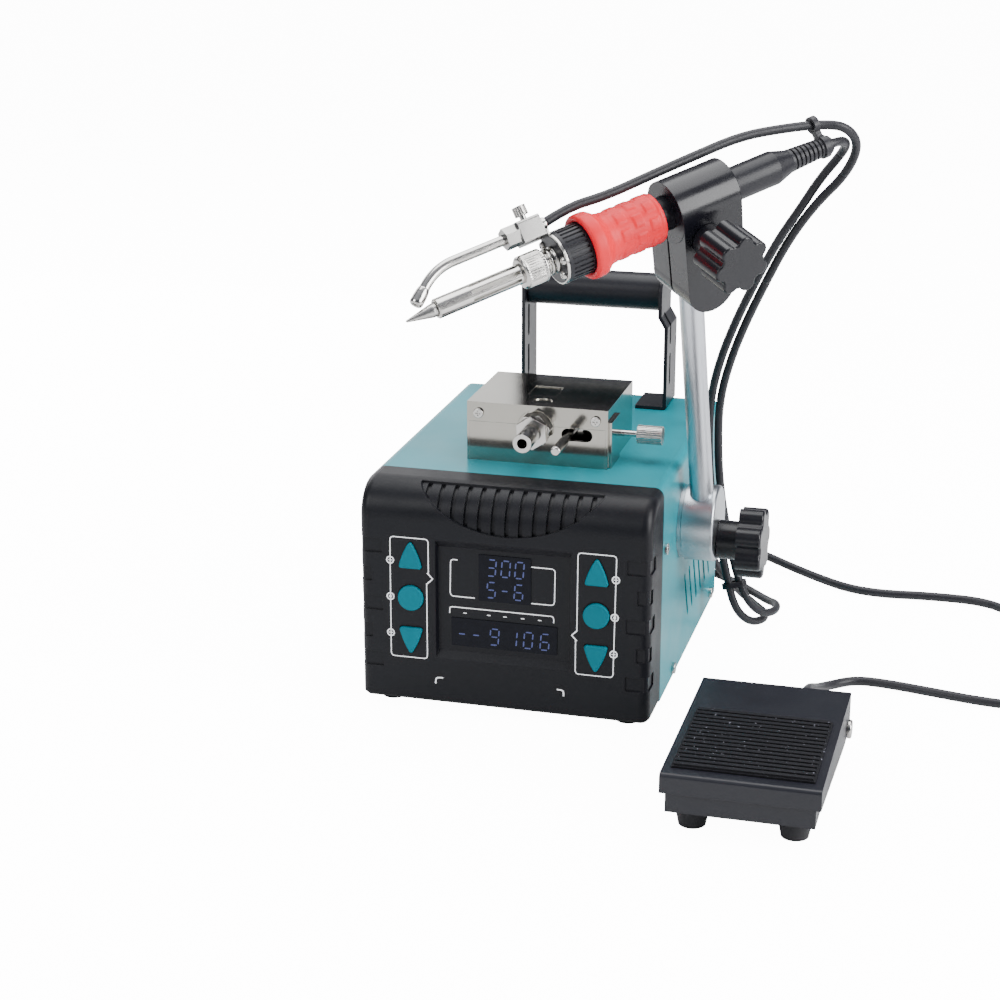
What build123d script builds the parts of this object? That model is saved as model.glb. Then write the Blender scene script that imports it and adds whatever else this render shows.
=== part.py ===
"""Solder-feeding soldering station with a jointed iron stand and a foot pedal.

Units are millimetres and +Z is up. The origin is on the bench, under the middle of the
whole set. Heights are above the bench. Most places are given from the station's own
corner point: x from its middle, y from the face of its front bezel.
"""

import os
from math import cos, pi, radians, sin, tan

from build123d import *

# ---------------------------------------------------------------- driving dimensions
station_x = -49.85  # the station's middle, left of the whole set's middle
station_y = -60.8  # the bezel's front face

case_width = 150.0
case_depth = 194.0
case_floor = 4.0
case_top = 119.0
case_corner = 5.0
sheet = 1.2
bezel_depth = 30.0
bezel_wall = 2.5
bezel_brow = 18.0
lip_depth = 7.0

panel_half_width = 35.0
panel_low, panel_high = 28.5, 92.0
panel_depth = 3.0
button_x = 48.0
button_round_z = 60.0
button_round_radius = 6.6
button_tip_reach = 30.5
button_base_reach = 16.0
button_half_base = 6.1
button_corner = 1.1
button_gap = 0.35
button_proud = 1.6

feeder_x = 4.0
feeder_y = 52.2
feeder_width = 74.0
feeder_depth = 60.5
feeder_height = 31.0
seam_z = 139.7
port_x, port_z = 3.2, 137.8
port_radius, port_bore, port_reach = 4.8, 2.6, 27.0
port_plain, port_root_radius = 16.0, 3.7
slot_x, slot_z, slot_length, slot_height = 25.0, 136.0, 16.0, 6.4
roller_y, roller_z = 84.0, 134.0
drive_radius, pinch_radius = 7.0, 6.0
wire_gap = 1.2
roller_height = 8.0
swing_x, swing_y = 22.0, 104.0

handle_left, handle_right = -34.0, 49.0
handle_y, handle_z = 180.0, 183.0
handle_strap = 27.0
handle_plate = 2.0
grip_radius = 10.3

pivot_y, pivot_z = 84.8, 84.1
boss_radius, boss_start, boss_end = 20.0, 77.3, 94.0
stud_radius, stud_drop = 4.0, 8.6
stud_z = pivot_z - stud_drop
knob_fit = 0.06
rod_x = 85.6
rod_radius = 6.0
rod_lean = 22.2
rod_reach = 195.5
head_turn = 45.3

clamp_radius = 15.1
clamp_front, clamp_rear = 11.7, -20.9
clamp_drop = 53.0
clamp_slit = 1.4
head_screw_drop, head_screw_radius = 11.3, 2.5
iron_radius = 8.2
guide_offset = 16.8
guide_clock = 42.0
tube_radius, tube_bore = 2.45, 1.4
cable_radius = 2.25
hose_radius = 2.25
cable_fit = 0.35

pedal_left, pedal_width = 101.2, 73.0
pedal_front, pedal_length = -106.4, 113.0
pedal_top, pedal_underside = 30.3, 10.8
plate_sheet = 1.5
pedal_pivot_y, pedal_pivot_z = -5.4, 16.3
cord_radius = 2.5
coil_x, coil_y = 279.0, 104.0
coil_inner, coil_outer, coil_height = 22.0, 33.0, 12.5

pieces = {}


# ---------------------------------------------------------------- places and planes
def at(x, y, z):
    """A point given from the station's corner point."""
    return Vector(station_x + x, station_y + y, z)


def level(z, x=0.0, y=0.0):
    """A horizontal plane, whose sketches have the station's x and y."""
    return Plane(origin=at(x, y, z))


def facing_front(y, x=0.0, z=0.0):
    """An upright plane across the station: sketch x is x and sketch y is height."""
    return Plane(origin=at(x, y, z), x_dir=(1, 0, 0), z_dir=(0, -1, 0))


def facing_right(x, y=0.0, z=0.0):
    """An upright plane along the station: sketch x is depth and sketch y is height."""
    return Plane(origin=at(x, y, z), x_dir=(0, 1, 0), z_dir=(1, 0, 0))


lean, turn = radians(rod_lean), radians(head_turn)
arm_pivot = at(rod_x, pivot_y, pivot_z)
rod_up = Vector(0, -sin(lean), cos(lean))
iron_ahead = Vector(-sin(turn), -cos(turn) * cos(lean), -cos(turn) * sin(lean))
iron_side = rod_up.cross(iron_ahead)
iron_origin = arm_pivot + rod_up * rod_reach
clock = radians(guide_clock)
guide_up = rod_up * cos(clock) - iron_side * sin(clock)

iron_profile = Plane(origin=iron_origin, x_dir=iron_ahead, z_dir=iron_side * -1)
guide_profile = Plane(
    origin=iron_origin, x_dir=iron_ahead, z_dir=iron_ahead.cross(guide_up)
)


def across_iron(distance):
    """A plane across the iron, that far ahead of the rod's axis."""
    origin = iron_origin + iron_ahead * distance
    return Plane(origin=origin, x_dir=iron_side, z_dir=iron_ahead)


def across_guide(distance):
    """A plane across the iron whose sketch y points at the wire guide."""
    origin = iron_origin + iron_ahead * distance
    side = guide_up.cross(iron_ahead)
    return Plane(origin=origin, x_dir=side, z_dir=iron_ahead)


def along_iron(ahead, up, side=0.0):
    """A point in the iron's frame: ahead to the tip, up the rod, out to the knob's side."""
    return iron_origin + iron_ahead * ahead + rod_up * up + iron_side * side


def by_guide(ahead, out):
    """A point in the wire guide's plane."""
    return iron_origin + iron_ahead * ahead + guide_up * out


# ---------------------------------------------------------------- shared shapes
def keep(name, builder):
    """Labels a finished piece and puts it among those to be written."""
    builder.part.label = name
    pieces[name] = builder.part


def turned(plane, outline):
    """A solid turned about the plane's x axis from its outline of x and radius."""
    with BuildPart() as body:
        with BuildSketch(plane):
            with BuildLine():
                Polyline(*outline, close=True)
            make_face()
        revolve(axis=Axis(plane.origin, plane.x_dir))
    return body.part


def star_sketch(plane, radius, lobes):
    """A knob's outline: a core with round lobes."""
    with BuildSketch(plane) as outline:
        Circle(radius * 0.81)
        with PolarLocations(radius * 0.72, lobes):
            Circle(radius * 0.28)
        fillet(outline.vertices(), radius * 0.08)
    return outline.sketch


def screw_head(plane, places, radius, height):
    """Pan heads with a cross recess, standing on a plane at each place."""
    with BuildPart() as heads:
        with BuildSketch(plane):
            with Locations(*places):
                Circle(radius)
        extrude(amount=height)
        fillet(heads.edges().group_by(Axis(plane.origin, plane.z_dir))[-1], 0.3)
        with BuildSketch(plane.offset(height)):
            with Locations(*places):
                Rectangle(radius * 1.1, radius * 0.28)
                Rectangle(radius * 0.28, radius * 1.1)
        extrude(amount=-height * 0.5, mode=Mode.SUBTRACT)
    return heads.part


def bend_radii(points):
    """The largest easy bend at each corner of a route."""
    radii = []
    for before, here, after in zip(points, points[1:], points[2:]):
        run_in, run_out = here - before, after - here
        half_turn = radians(run_in.get_angle(run_out)) / 2
        radii.append(0.45 * min(run_in.length, run_out.length) / tan(half_turn))
    return radii


def cord_tube(name, points, radius):
    """A tube of straight runs and round bends along a route."""
    radii = bend_radii(points)
    with BuildPart() as tube:
        with BuildLine() as path:
            FilletPolyline(*points, radius=radii)
        with BuildSketch(Plane(origin=path.line @ 0, z_dir=path.line % 0)):
            Circle(radius)
        sweep()
    length = path.wire().length
    ideal = pi * radius**2 * length
    print(name, "length", round(length), "radii", [round(r) for r in radii],
          "volume ratio", round(tube.part.volume / ideal, 4))
    return tube.part


# ---------------------------------------------------------------- station case
half = case_width / 2
case_height = case_top - case_floor
case_middle_z = (case_top + case_floor) / 2
cover_length = case_depth - bezel_depth
cover_y = bezel_depth + cover_length / 2
inner_half = half - sheet - 0.3

with BuildPart() as base_chassis:
    with BuildSketch(level(case_floor, y=cover_y + 3)):
        Rectangle(2 * inner_half, cover_length - 12)
    extrude(amount=14)
    offset(amount=-sheet, openings=base_chassis.faces().sort_by(Axis.Z)[-1])
    with BuildSketch(level(case_floor, y=cover_y)):
        with GridLocations(14, 62, 7, 2):
            SlotOverall(34, 4, rotation=90)
    extrude(amount=sheet, mode=Mode.SUBTRACT)
keep("base_chassis", base_chassis)

side_screws = [(35.0, 85.5), (64.0, 9.0), (176.0, 10.0), (190.0, 89.0)]
with BuildPart() as case_cover:
    with BuildSketch(facing_front(bezel_depth)):
        with Locations((0, case_floor)):
            RectangleRounded(case_width, 2 * case_height, case_corner)
            inner_height = 2 * (case_height - sheet)
            inner_corner = case_corner - sheet
            RectangleRounded(case_width - 2 * sheet, inner_height, inner_corner, mode=Mode.SUBTRACT)
        with Locations((0, case_floor - case_height)):
            Rectangle(2 * case_width, 2 * case_height, mode=Mode.SUBTRACT)
    extrude(amount=-cover_length)
    with BuildSketch(facing_right(-half - 1)):
        for row in range(6):
            with Locations((100 + 13 * row, 37)):
                SlotOverall(30, 3.4, rotation=115)
    extrude(amount=case_width + 2, mode=Mode.SUBTRACT)
    with BuildSketch(facing_right(-half - 1)):
        with Locations(*side_screws):
            Circle(1.6)
    extrude(amount=case_width + 2, mode=Mode.SUBTRACT)
    with BuildSketch(facing_right(half + 1)):
        with Locations((pivot_y, stud_z)):
            Circle(stud_radius)
    extrude(amount=-4 * sheet, mode=Mode.SUBTRACT)
    with BuildSketch(level(case_top - 2 * sheet)):
        with Locations((port_x - drive_radius - wire_gap / 2, roller_y)):
            Circle(5)
    extrude(amount=3 * sheet, mode=Mode.SUBTRACT)
keep("case_cover", case_cover)

with BuildPart() as case_screws:
    for plane in (facing_right(half), Plane(at(-half, 0, 0), (0, -1, 0), (-1, 0, 0))):
        side = plane.x_dir.Y
        add(screw_head(plane, [(side * y, z) for y, z in side_screws], 3.0, 1.8))
    add(screw_head(facing_front(feeder_y), [(-26.8, 144.2), (34.7, 144.2)], 2.6, 1.5))
keep("case_screws", case_screws)

foot_x, foot_front, foot_rear = 62.0, 14.0, 178.0
foot_radius = 7.0
with BuildPart() as rubber_feet:
    with BuildSketch(level(0)):
        for x in (-foot_x, foot_x):
            with Locations((x, foot_front), (x, foot_rear)):
                Circle(foot_radius - 0.8)
    extrude(amount=case_floor, taper=-8)
keep("rubber_feet", rubber_feet)

# ---------------------------------------------------------------- front bezel
vent_x, vent_half, vent_top, vent_low, vent_rear = 1.6, 47.0, 117.6, 96.5, 13.5
rib_count, rib_pitch, rib_width, rib_sink, groove_sink = 14, 7.05, 4.8, 1.0, 2.4


def bezel_outline(inset, start_x=-half):
    """The bezel's side outline, set in from its outside by an even amount."""
    curve = bezel_brow - inset
    with BuildSketch(facing_right(start_x)) as outline:
        with BuildLine():
            foot = (inset, case_floor + inset)
            shoulder = (inset, case_top - bezel_brow)
            crown = (bezel_brow, case_top - inset)
            Line(foot, shoulder)
            ThreePointArc(
                shoulder,
                (bezel_brow - curve * cos(pi / 4), case_top - bezel_brow + curve * sin(pi / 4)),
                crown,
            )
            Polyline(crown, (bezel_depth, case_top - inset), (bezel_depth, case_floor + inset), foot)
        make_face()
    return outline.sketch


def vent_sketch(grow=0.0):
    """The ribbed crescent: a round belly, open above at the brow."""
    left, right = vent_x - vent_half - grow, vent_x + vent_half + grow
    with BuildSketch(facing_front(-1)) as crescent:
        with BuildLine():
            ThreePointArc((left, vent_top), (vent_x, vent_low - grow), (right, vent_top))
            Polyline((right, vent_top), (right, case_top + 4), (left, case_top + 4), (left, vent_top))
        make_face()
    return crescent.sketch


button_places = []
for side in (-button_x, button_x):
    button_places += [(side, "up"), (side, "round"), (side, "down")]


def button_sketch(plane, x, kind, grow):
    """A button's face, or its hole when it is grown: a pointed arch or a disc."""
    way = {"up": 1, "down": -1, "round": 0}[kind]
    with BuildSketch(plane) as face:
        if kind == "round":
            with Locations((x, button_round_z)):
                Circle(button_round_radius + grow)
        else:
            tip = (x, button_round_z + way * (button_tip_reach + grow))
            base = button_round_z + way * (button_base_reach - grow)
            with BuildLine():
                left = (x - button_half_base - grow, base)
                right = (x + button_half_base + grow, base)
                Line(left, right)
                bulge = 0.62 * (button_half_base + grow)
                mid = base + way * 0.52 * (button_tip_reach - button_base_reach)
                ThreePointArc(right, (x + bulge, mid), tip)
                ThreePointArc(tip, (x - bulge, mid), left)
            make_face()
            fillet(face.vertices(), button_corner)
    return face.sketch


notch_rows = [(86.5, 12.0), (71.0, 6.5), (55.5, 12.0), (40.5, 6.5), (25.0, 12.0)]
notch_height, notch_sink = 7.6, 0.8

with BuildPart() as bezel_ribs:
    extrude(vent_sketch(1.5), amount=-(vent_rear + 2.5))
    extrude(bezel_outline(rib_sink), amount=case_width, mode=Mode.INTERSECT)
    extrude(bezel_outline(groove_sink + 1.2), amount=case_width, mode=Mode.SUBTRACT)
    with BuildPart(mode=Mode.SUBTRACT):
        with BuildSketch(facing_front(-1)):
            with Locations((vent_x, vent_top)):
                with GridLocations(rib_pitch, 1, rib_count - 1, 1):
                    Rectangle(rib_pitch - rib_width, 60)
        extrude(amount=-(vent_rear + 1))
        extrude(bezel_outline(groove_sink), amount=case_width, mode=Mode.SUBTRACT)

with BuildPart() as front_bezel:
    extrude(bezel_outline(0), amount=case_width)
    end_edges = front_bezel.faces().filter_by(Axis.X).edges()
    outer_edges = end_edges.filter_by(lambda edge: edge.center().Y < at(0, bezel_depth - 1, 0).Y)
    fillet(outer_edges.filter_by(lambda edge: edge.center().Z > case_floor + 1), case_corner)
    chamfer(front_bezel.faces().sort_by(Axis.Z)[0].edges().filter_by(Axis.X).sort_by(Axis.Y)[0], 1.5)
    hollow = bezel_outline(bezel_wall, bezel_wall - half)
    extrude(hollow, amount=case_width - 2 * bezel_wall, mode=Mode.SUBTRACT)
    with BuildSketch(facing_front(bezel_depth - lip_depth)):
        with Locations((0, case_middle_z - 1)):
            Rectangle(2 * (half - bezel_wall), case_height - 2 * bezel_wall - 2)
            inner_width = 2 * (half - bezel_wall - 1.6)
            Rectangle(inner_width, case_height - 2 * bezel_wall - 6, mode=Mode.SUBTRACT)
    extrude(amount=-2 * lip_depth)
    extrude(vent_sketch(), amount=-(vent_rear + 1), mode=Mode.SUBTRACT)
    add(bezel_ribs.part)
    with BuildSketch(facing_front(panel_depth + 2.2)):
        with Locations((0, (panel_low + panel_high) / 2)):
            Rectangle(2 * panel_half_width + 2, panel_high - panel_low + 2)
    extrude(amount=panel_depth + 2.2 - bezel_wall)
    with BuildSketch(facing_front(0)):
        with Locations((0, (panel_low + panel_high) / 2)):
            Rectangle(2 * panel_half_width, panel_high - panel_low)
    with BuildSketch(facing_front(panel_depth)):
        with Locations((0, (panel_low + panel_high) / 2)):
            Rectangle(2 * panel_half_width - 1.5, panel_high - panel_low - 8)
    loft(mode=Mode.SUBTRACT)
    with BuildSketch(facing_front(panel_depth - 1)):
        with Locations((0.4, 73.3)):
            Rectangle(27, 24.6)
        with Locations((0, 43)):
            Rectangle(55, 15)
    extrude(amount=-5, mode=Mode.SUBTRACT)
    for x, kind in button_places:
        hole = button_sketch(facing_front(-1), x, kind, button_gap)
        extrude(hole, amount=-6, mode=Mode.SUBTRACT)
    with BuildSketch(facing_front(0)):
        for z, width in notch_rows:
            with Locations((half - width / 2, z), (width / 2 - half, z)):
                Rectangle(width, notch_height)
    extrude(amount=-notch_sink, mode=Mode.SUBTRACT)
    for x in (-half, half - notch_sink):
        with BuildSketch(facing_right(x)):
            for z, width in notch_rows:
                with Locations((width / 2, z)):
                    Rectangle(width, notch_height)
        extrude(amount=notch_sink, mode=Mode.SUBTRACT)
keep("front_bezel", front_bezel)

lens_front, lens_depth = panel_depth - 0.4, 1.6
with BuildPart() as display_lenses:
    with BuildSketch(facing_front(lens_front)):
        with Locations((0.4, 73.3)):
            Rectangle(27, 24.6)
        with Locations((0, 43)):
            Rectangle(55, 15)
    extrude(amount=-lens_depth)
keep("display_lenses", display_lenses)

board_y = 15.0
with BuildPart() as display_board:
    with BuildSketch(facing_front(board_y)):
        with Locations((0, 60)):
            Rectangle(128, 72)
    extrude(amount=-1.6)
    with BuildSketch(facing_front(board_y)):
        with Locations((0.4, 73.3)):
            Rectangle(25, 22)
        with Locations((0, 43)):
            Rectangle(52, 14)
    extrude(amount=board_y - lens_front - lens_depth - 0.5)
    for x, kind in button_places:
        way = {"up": 1, "down": -1, "round": 0}[kind]
        with BuildSketch(facing_front(board_y)):
            with Locations((x, button_round_z + way * 21)):
                Rectangle(6, 6)
        extrude(amount=3.5)
    with BuildSketch(facing_front(board_y + 1.6)):
        with Locations((-30, 50), (20, 72)):
            Rectangle(14, 14)
    extrude(amount=-3)
keep("display_board", display_board)

button_top, button_flange_y = -button_proud, bezel_wall + 0.4
for x, kind in button_places:
    way = {"up": 1, "down": -1, "round": 0}[kind]
    name = kind + "_button_" + ("left" if x < 0 else "right")
    with BuildPart() as button:
        cap = button_sketch(facing_front(button_top), x, kind, 0)
        extrude(cap, amount=-(button_flange_y - button_top))
        rim = button.edges().group_by(Axis.Y)[0]
        fillet(rim, 0.5)
        with BuildSketch(facing_front(button_flange_y)):
            with Locations((x, button_round_z + way * 21)):
                Rectangle(13, 16) if way else Circle(7.6)
        extrude(amount=-1.2)
        with BuildSketch(facing_front(button_flange_y + 1.2)):
            with Locations((x, button_round_z + way * 21)):
                Circle(2)
        extrude(amount=-(board_y - 3.5 - 1.5 - button_flange_y - 1.2))
    keep(name, button)

# ---------------------------------------------------------------- rear and inside
panel_y = case_depth - 1.5
inlet_x, inlet_z = -42.0, 40.0
rocker_z = 86.0
socket_x, socket_z = 44.0, 62.0
hose_gland_x, hose_gland_z = 22.0, 40.0
cord_gland_x, cord_gland_z = 58.0, 26.0
gland_radius = 6.0

with BuildPart() as rear_panel:
    with BuildSketch(facing_front(panel_y)):
        with Locations((0, case_middle_z)):
            RectangleRounded(2 * inner_half - 0.4, case_height - 2 * sheet - 2, case_corner)
        with Locations((inlet_x, inlet_z)):
            Rectangle(27, 31, mode=Mode.SUBTRACT)
        with Locations((inlet_x, rocker_z)):
            Rectangle(13, 19.4, mode=Mode.SUBTRACT)
        with Locations((socket_x, socket_z)):
            Circle(8, mode=Mode.SUBTRACT)
        with Locations((hose_gland_x, hose_gland_z), (cord_gland_x, cord_gland_z)):
            Circle(gland_radius, mode=Mode.SUBTRACT)
        with Locations((8, 92)):
            with GridLocations(7, 7, 9, 4):
                Circle(2, mode=Mode.SUBTRACT)
    extrude(amount=-1.5)
keep("rear_panel", rear_panel)

rear = facing_front(case_depth)
with BuildPart() as mains_inlet:
    with BuildSketch(rear):
        with Locations((inlet_x, inlet_z)):
            RectangleRounded(31, 36, 3)
        with Locations((inlet_x, rocker_z)):
            Rectangle(16, 23)
            Rectangle(11.4, 17.4, mode=Mode.SUBTRACT)
    extrude(amount=-2)
    with BuildSketch(rear):
        with Locations((inlet_x, inlet_z)):
            Rectangle(27, 31)
        with Locations((inlet_x, rocker_z)):
            Rectangle(13, 19.4)
            Rectangle(11.4, 17.4, mode=Mode.SUBTRACT)
    extrude(amount=22)
    with BuildSketch(facing_front(case_depth + 2)):
        with Locations((inlet_x, inlet_z)):
            Rectangle(24, 17)
    extrude(amount=18, mode=Mode.SUBTRACT)
    with BuildSketch(facing_front(case_depth - 16)):
        with Locations((inlet_x - 7, inlet_z), (inlet_x, inlet_z + 3), (inlet_x + 7, inlet_z)):
            Rectangle(2, 5)
    extrude(amount=-13)
keep("mains_inlet", mains_inlet)

with BuildPart() as power_rocker:
    with BuildSketch(facing_right(inlet_x - 5.4)):
        with BuildLine():
            middle = (case_depth + 0.5, rocker_z)
            upper, lower = (case_depth + 3.6, rocker_z + 8), (case_depth + 1.2, rocker_z - 8)
            inner_low, inner_high = (case_depth - 8, rocker_z - 5), (case_depth - 8, rocker_z + 5)
            Polyline(middle, upper, inner_high, inner_low, lower, middle)
        make_face()
    extrude(amount=10.8)
    fillet(power_rocker.edges().filter_by(Axis.X).group_by(Axis.Y)[-1], 1)
keep("power_rocker", power_rocker)

with BuildPart() as handset_socket:
    with BuildSketch(facing_front(case_depth + 2)):
        with Locations((socket_x, socket_z)):
            RegularPolygon(9.5, 6)
            Circle(7.8, mode=Mode.SUBTRACT)
    extrude(amount=2)
    with BuildSketch(facing_front(case_depth + 6)):
        with Locations((socket_x, socket_z)):
            Circle(7.8)
    extrude(amount=20)
    with BuildSketch(facing_front(case_depth + 24)):
        with Locations((socket_x, socket_z)):
            Circle(8.4)
            Circle(cable_radius, mode=Mode.SUBTRACT)
    extrude(amount=18)
    with BuildSketch(facing_front(case_depth + 34)):
        with Locations((socket_x, socket_z)):
            Circle(5)
            Circle(cable_radius, mode=Mode.SUBTRACT)
    extrude(amount=10)
keep("handset_socket", handset_socket)

with BuildPart() as cord_glands:
    for x, z, bore in (
        (hose_gland_x, hose_gland_z, hose_radius),
        (cord_gland_x, cord_gland_z, cord_radius),
    ):
        with BuildSketch(facing_front(case_depth + 3)):
            with Locations((x, z)):
                RegularPolygon(8, 6)
                Circle(bore, mode=Mode.SUBTRACT)
        extrude(amount=3)
        with BuildSketch(facing_front(case_depth)):
            with Locations((x, z)):
                Circle(gland_radius)
                Circle(bore, mode=Mode.SUBTRACT)
        extrude(amount=5)
        with BuildSketch(facing_front(case_depth + 3)):
            with Locations((x, z)):
                Circle(6)
                Circle(bore, mode=Mode.SUBTRACT)
        extrude(amount=-9, taper=8)
keep("cord_glands", cord_glands)

with BuildPart() as transformer:
    with BuildSketch(level(case_floor + sheet, -30, 130)):
        Rectangle(44, 58)
    extrude(amount=48)
    with BuildSketch(level(case_floor + sheet + 10, -30, 130)):
        Rectangle(62, 38)
    extrude(amount=28)
keep("transformer", transformer)

with BuildPart() as main_board:
    with BuildSketch(level(12, 34, 118)):
        Rectangle(68, 108)
    extrude(amount=1.6)
    with BuildSketch(level(12, 34, 118)):
        with GridLocations(58, 98, 2, 2):
            Circle(3)
    extrude(amount=-(12 - case_floor - sheet))
    with BuildSketch(level(13.6, 34, 118)):
        with Locations((-18, 34), (-18, 12)):
            Circle(7)
        with Locations((14, 20)):
            Rectangle(24, 8)
        with Locations((10, -24)):
            Rectangle(16, 16)
    extrude(amount=16)
keep("main_board", main_board)

# ---------------------------------------------------------------- carrying handle
inner_turn = 17.5
leg_front = handle_y - handle_strap / 2
with BuildPart() as handle_frame:
    with BuildSketch(facing_front(leg_front)):
        with BuildLine():
            Polyline(
                (handle_left + inner_turn, case_top),
                (handle_left, case_top),
                (handle_left, handle_z + 10),
                (handle_left + handle_plate, handle_z + 10),
                (handle_left + handle_plate, case_top + handle_plate),
                (handle_left + inner_turn, case_top + handle_plate),
                close=True,
            )
        make_face()
        with BuildLine():
            jog, step = 3.6, 6.0
            bend_z = handle_z - 11
            Polyline(
                (handle_right - inner_turn, case_top),
                (handle_right, case_top),
                (handle_right, bend_z - step),
                (handle_right - jog, bend_z),
                (handle_right - jog, handle_z + 10),
                (handle_right - jog - handle_plate, handle_z + 10),
                (handle_right - jog - handle_plate, bend_z - 0.6),
                (handle_right - handle_plate, bend_z - step - 0.6),
                (handle_right - handle_plate, case_top + handle_plate),
                (handle_right - inner_turn, case_top + handle_plate),
                close=True,
            )
        make_face()
    extrude(amount=-handle_strap)
    bends = handle_frame.edges().filter_by(Axis.Y).filter_by_position(
        Axis.Z, case_top - 0.1, case_top + 0.1
    )
    corners = bends.sort_by(Axis.X)
    fillet([corners[0], corners[-1]], 1.9)
    tops = handle_frame.edges().filter_by(Axis.X).group_by(Axis.Z)[-1]
    fillet(tops, 10)
    with BuildSketch(facing_right(handle_left - 1)):
        for z in (141, 164):
            with Locations((handle_y - 5, z)):
                SlotOverall(18, 3.4, rotation=90)
    extrude(amount=case_width, mode=Mode.SUBTRACT)
keep("handle_frame", handle_frame)

grip_left = handle_left + handle_plate
grip_right = handle_right - 3.6 - handle_plate
with BuildPart() as handle_grip:
    with BuildSketch(facing_right(grip_left, handle_y, handle_z)):
        Circle(grip_radius)
    extrude(amount=grip_right - grip_left)
    fillet(handle_grip.edges(), 1)
keep("handle_grip", handle_grip)

# ---------------------------------------------------------------- solder feeder
feeder_left, feeder_right = feeder_x - feeder_width / 2, feeder_x + feeder_width / 2
feeder_back, feeder_top = feeder_y + feeder_depth, case_top + feeder_height
arch = 9.6
wall = 1.2
feeder_mid_y = feeder_y + feeder_depth / 2
drive_x = port_x - wire_gap / 2 - drive_radius
pinch_x = port_x + wire_gap / 2 + pinch_radius


def front_flange():
    """The cover's front flange, arched over the port's nuts."""
    with BuildSketch(facing_front(feeder_y)) as flange:
        with Locations((feeder_x, (seam_z + feeder_top) / 2)):
            Rectangle(feeder_width, feeder_top - seam_z)
        with Locations((port_x, port_z)):
            Circle(arch, mode=Mode.SUBTRACT)
    return flange.sketch


with BuildPart() as feeder_box:
    with BuildSketch(level(case_top, feeder_x, feeder_mid_y)):
        Rectangle(feeder_width - 2 * wall, feeder_depth)
    extrude(amount=wall)
    with BuildSketch(facing_front(feeder_y)):
        with Locations((feeder_x, (case_top + feeder_top - wall) / 2)):
            Rectangle(feeder_width - 2 * wall, feeder_top - wall - case_top)
    extrude(amount=-2 * wall)
    extrude(front_flange(), amount=-wall, mode=Mode.SUBTRACT)
    with BuildSketch(facing_front(feeder_y)):
        with Locations((port_x, port_z)):
            Circle(port_root_radius + 0.3)
        with Locations((slot_x, slot_z)):
            SlotOverall(slot_length, slot_height)
    extrude(amount=-3 * wall, mode=Mode.SUBTRACT)
    with BuildSketch(facing_front(feeder_back)):
        with Locations((feeder_x, (case_top + feeder_top - wall) / 2)):
            Rectangle(feeder_width - 2 * wall, feeder_top - wall - case_top)
        with Locations((port_x, port_z)):
            Circle(3.5, mode=Mode.SUBTRACT)
    extrude(amount=wall)
    with BuildSketch(level(case_top, drive_x, roller_y)):
        Circle(5)
    extrude(amount=wall, mode=Mode.SUBTRACT)
    with BuildSketch(level(case_top + wall, swing_x, swing_y)):
        Circle(2)
    extrude(amount=16)
keep("feeder_box", feeder_box)

with BuildPart() as feeder_cover:
    with BuildSketch(facing_front(feeder_y)):
        with Locations((feeder_x, (case_top + feeder_top) / 2)):
            Rectangle(feeder_width, feeder_height)
        with Locations((feeder_x, (case_top + feeder_top) / 2 - wall)):
            Rectangle(feeder_width - 2 * wall, feeder_height, mode=Mode.SUBTRACT)
    extrude(amount=-feeder_depth)
    extrude(front_flange(), amount=-wall)
    with BuildSketch(facing_right(feeder_right)):
        with Locations((65, case_top + 12)):
            Rectangle(20, 24)
    extrude(amount=1.5)
    with BuildSketch(facing_right(feeder_right - 2)):
        with Locations((72.5, 133)):
            Circle(1.7)
    extrude(amount=4, mode=Mode.SUBTRACT)
    with BuildSketch(level(feeder_top)):
        with Locations((1.5, 81)):
            Rectangle(15, 18)
        with Locations((4.5, 62)):
            Circle(5)
    extrude(amount=-0.5, mode=Mode.SUBTRACT)
keep("feeder_cover", feeder_cover)

with BuildPart() as wire_port:
    with BuildSketch(facing_front(feeder_y - port_reach)):
        with Locations((port_x, port_z)):
            Circle(port_radius)
            Circle(port_bore, mode=Mode.SUBTRACT)
    extrude(amount=-port_plain)
    with BuildSketch(facing_front(feeder_y - port_reach + port_plain)):
        with Locations((port_x, port_z)):
            Circle(port_root_radius)
            Circle(port_bore, mode=Mode.SUBTRACT)
    extrude(amount=-(port_reach - port_plain + 8))
    for front, thick, turn_by in ((feeder_y - 4.2, 4.2, 8), (feeder_y - 9.0, 4.2, 34)):
        with BuildSketch(facing_front(front)):
            with Locations((port_x, port_z)):
                RegularPolygon(7.6, 6, major_radius=False, rotation=turn_by)
                Circle(port_root_radius, mode=Mode.SUBTRACT)
        extrude(amount=-thick)
    with BuildSketch(facing_front(feeder_back + 4)):
        with Locations((port_x, port_z)):
            Circle(5)
            Circle(2, mode=Mode.SUBTRACT)
    extrude(amount=4)
    with BuildSketch(facing_front(feeder_back)):
        with Locations((port_x, port_z)):
            Circle(3.5)
            Circle(2, mode=Mode.SUBTRACT)
    extrude(amount=6)
keep("wire_port", wire_port)

motor_top = case_top - sheet
shaft_radius, shaft_fit = 1.5, 0.06
with BuildPart() as feed_motor:
    with BuildSketch(level(motor_top, drive_x, roller_y)):
        Circle(14)
    extrude(amount=-20)
    with BuildSketch(level(motor_top - 20, drive_x, roller_y)):
        Circle(11)
    extrude(amount=-28)
    with BuildSketch(level(motor_top, drive_x, roller_y)):
        Circle(shaft_radius + shaft_fit)
    extrude(amount=-12, mode=Mode.SUBTRACT)
keep("feed_motor", feed_motor)

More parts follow.
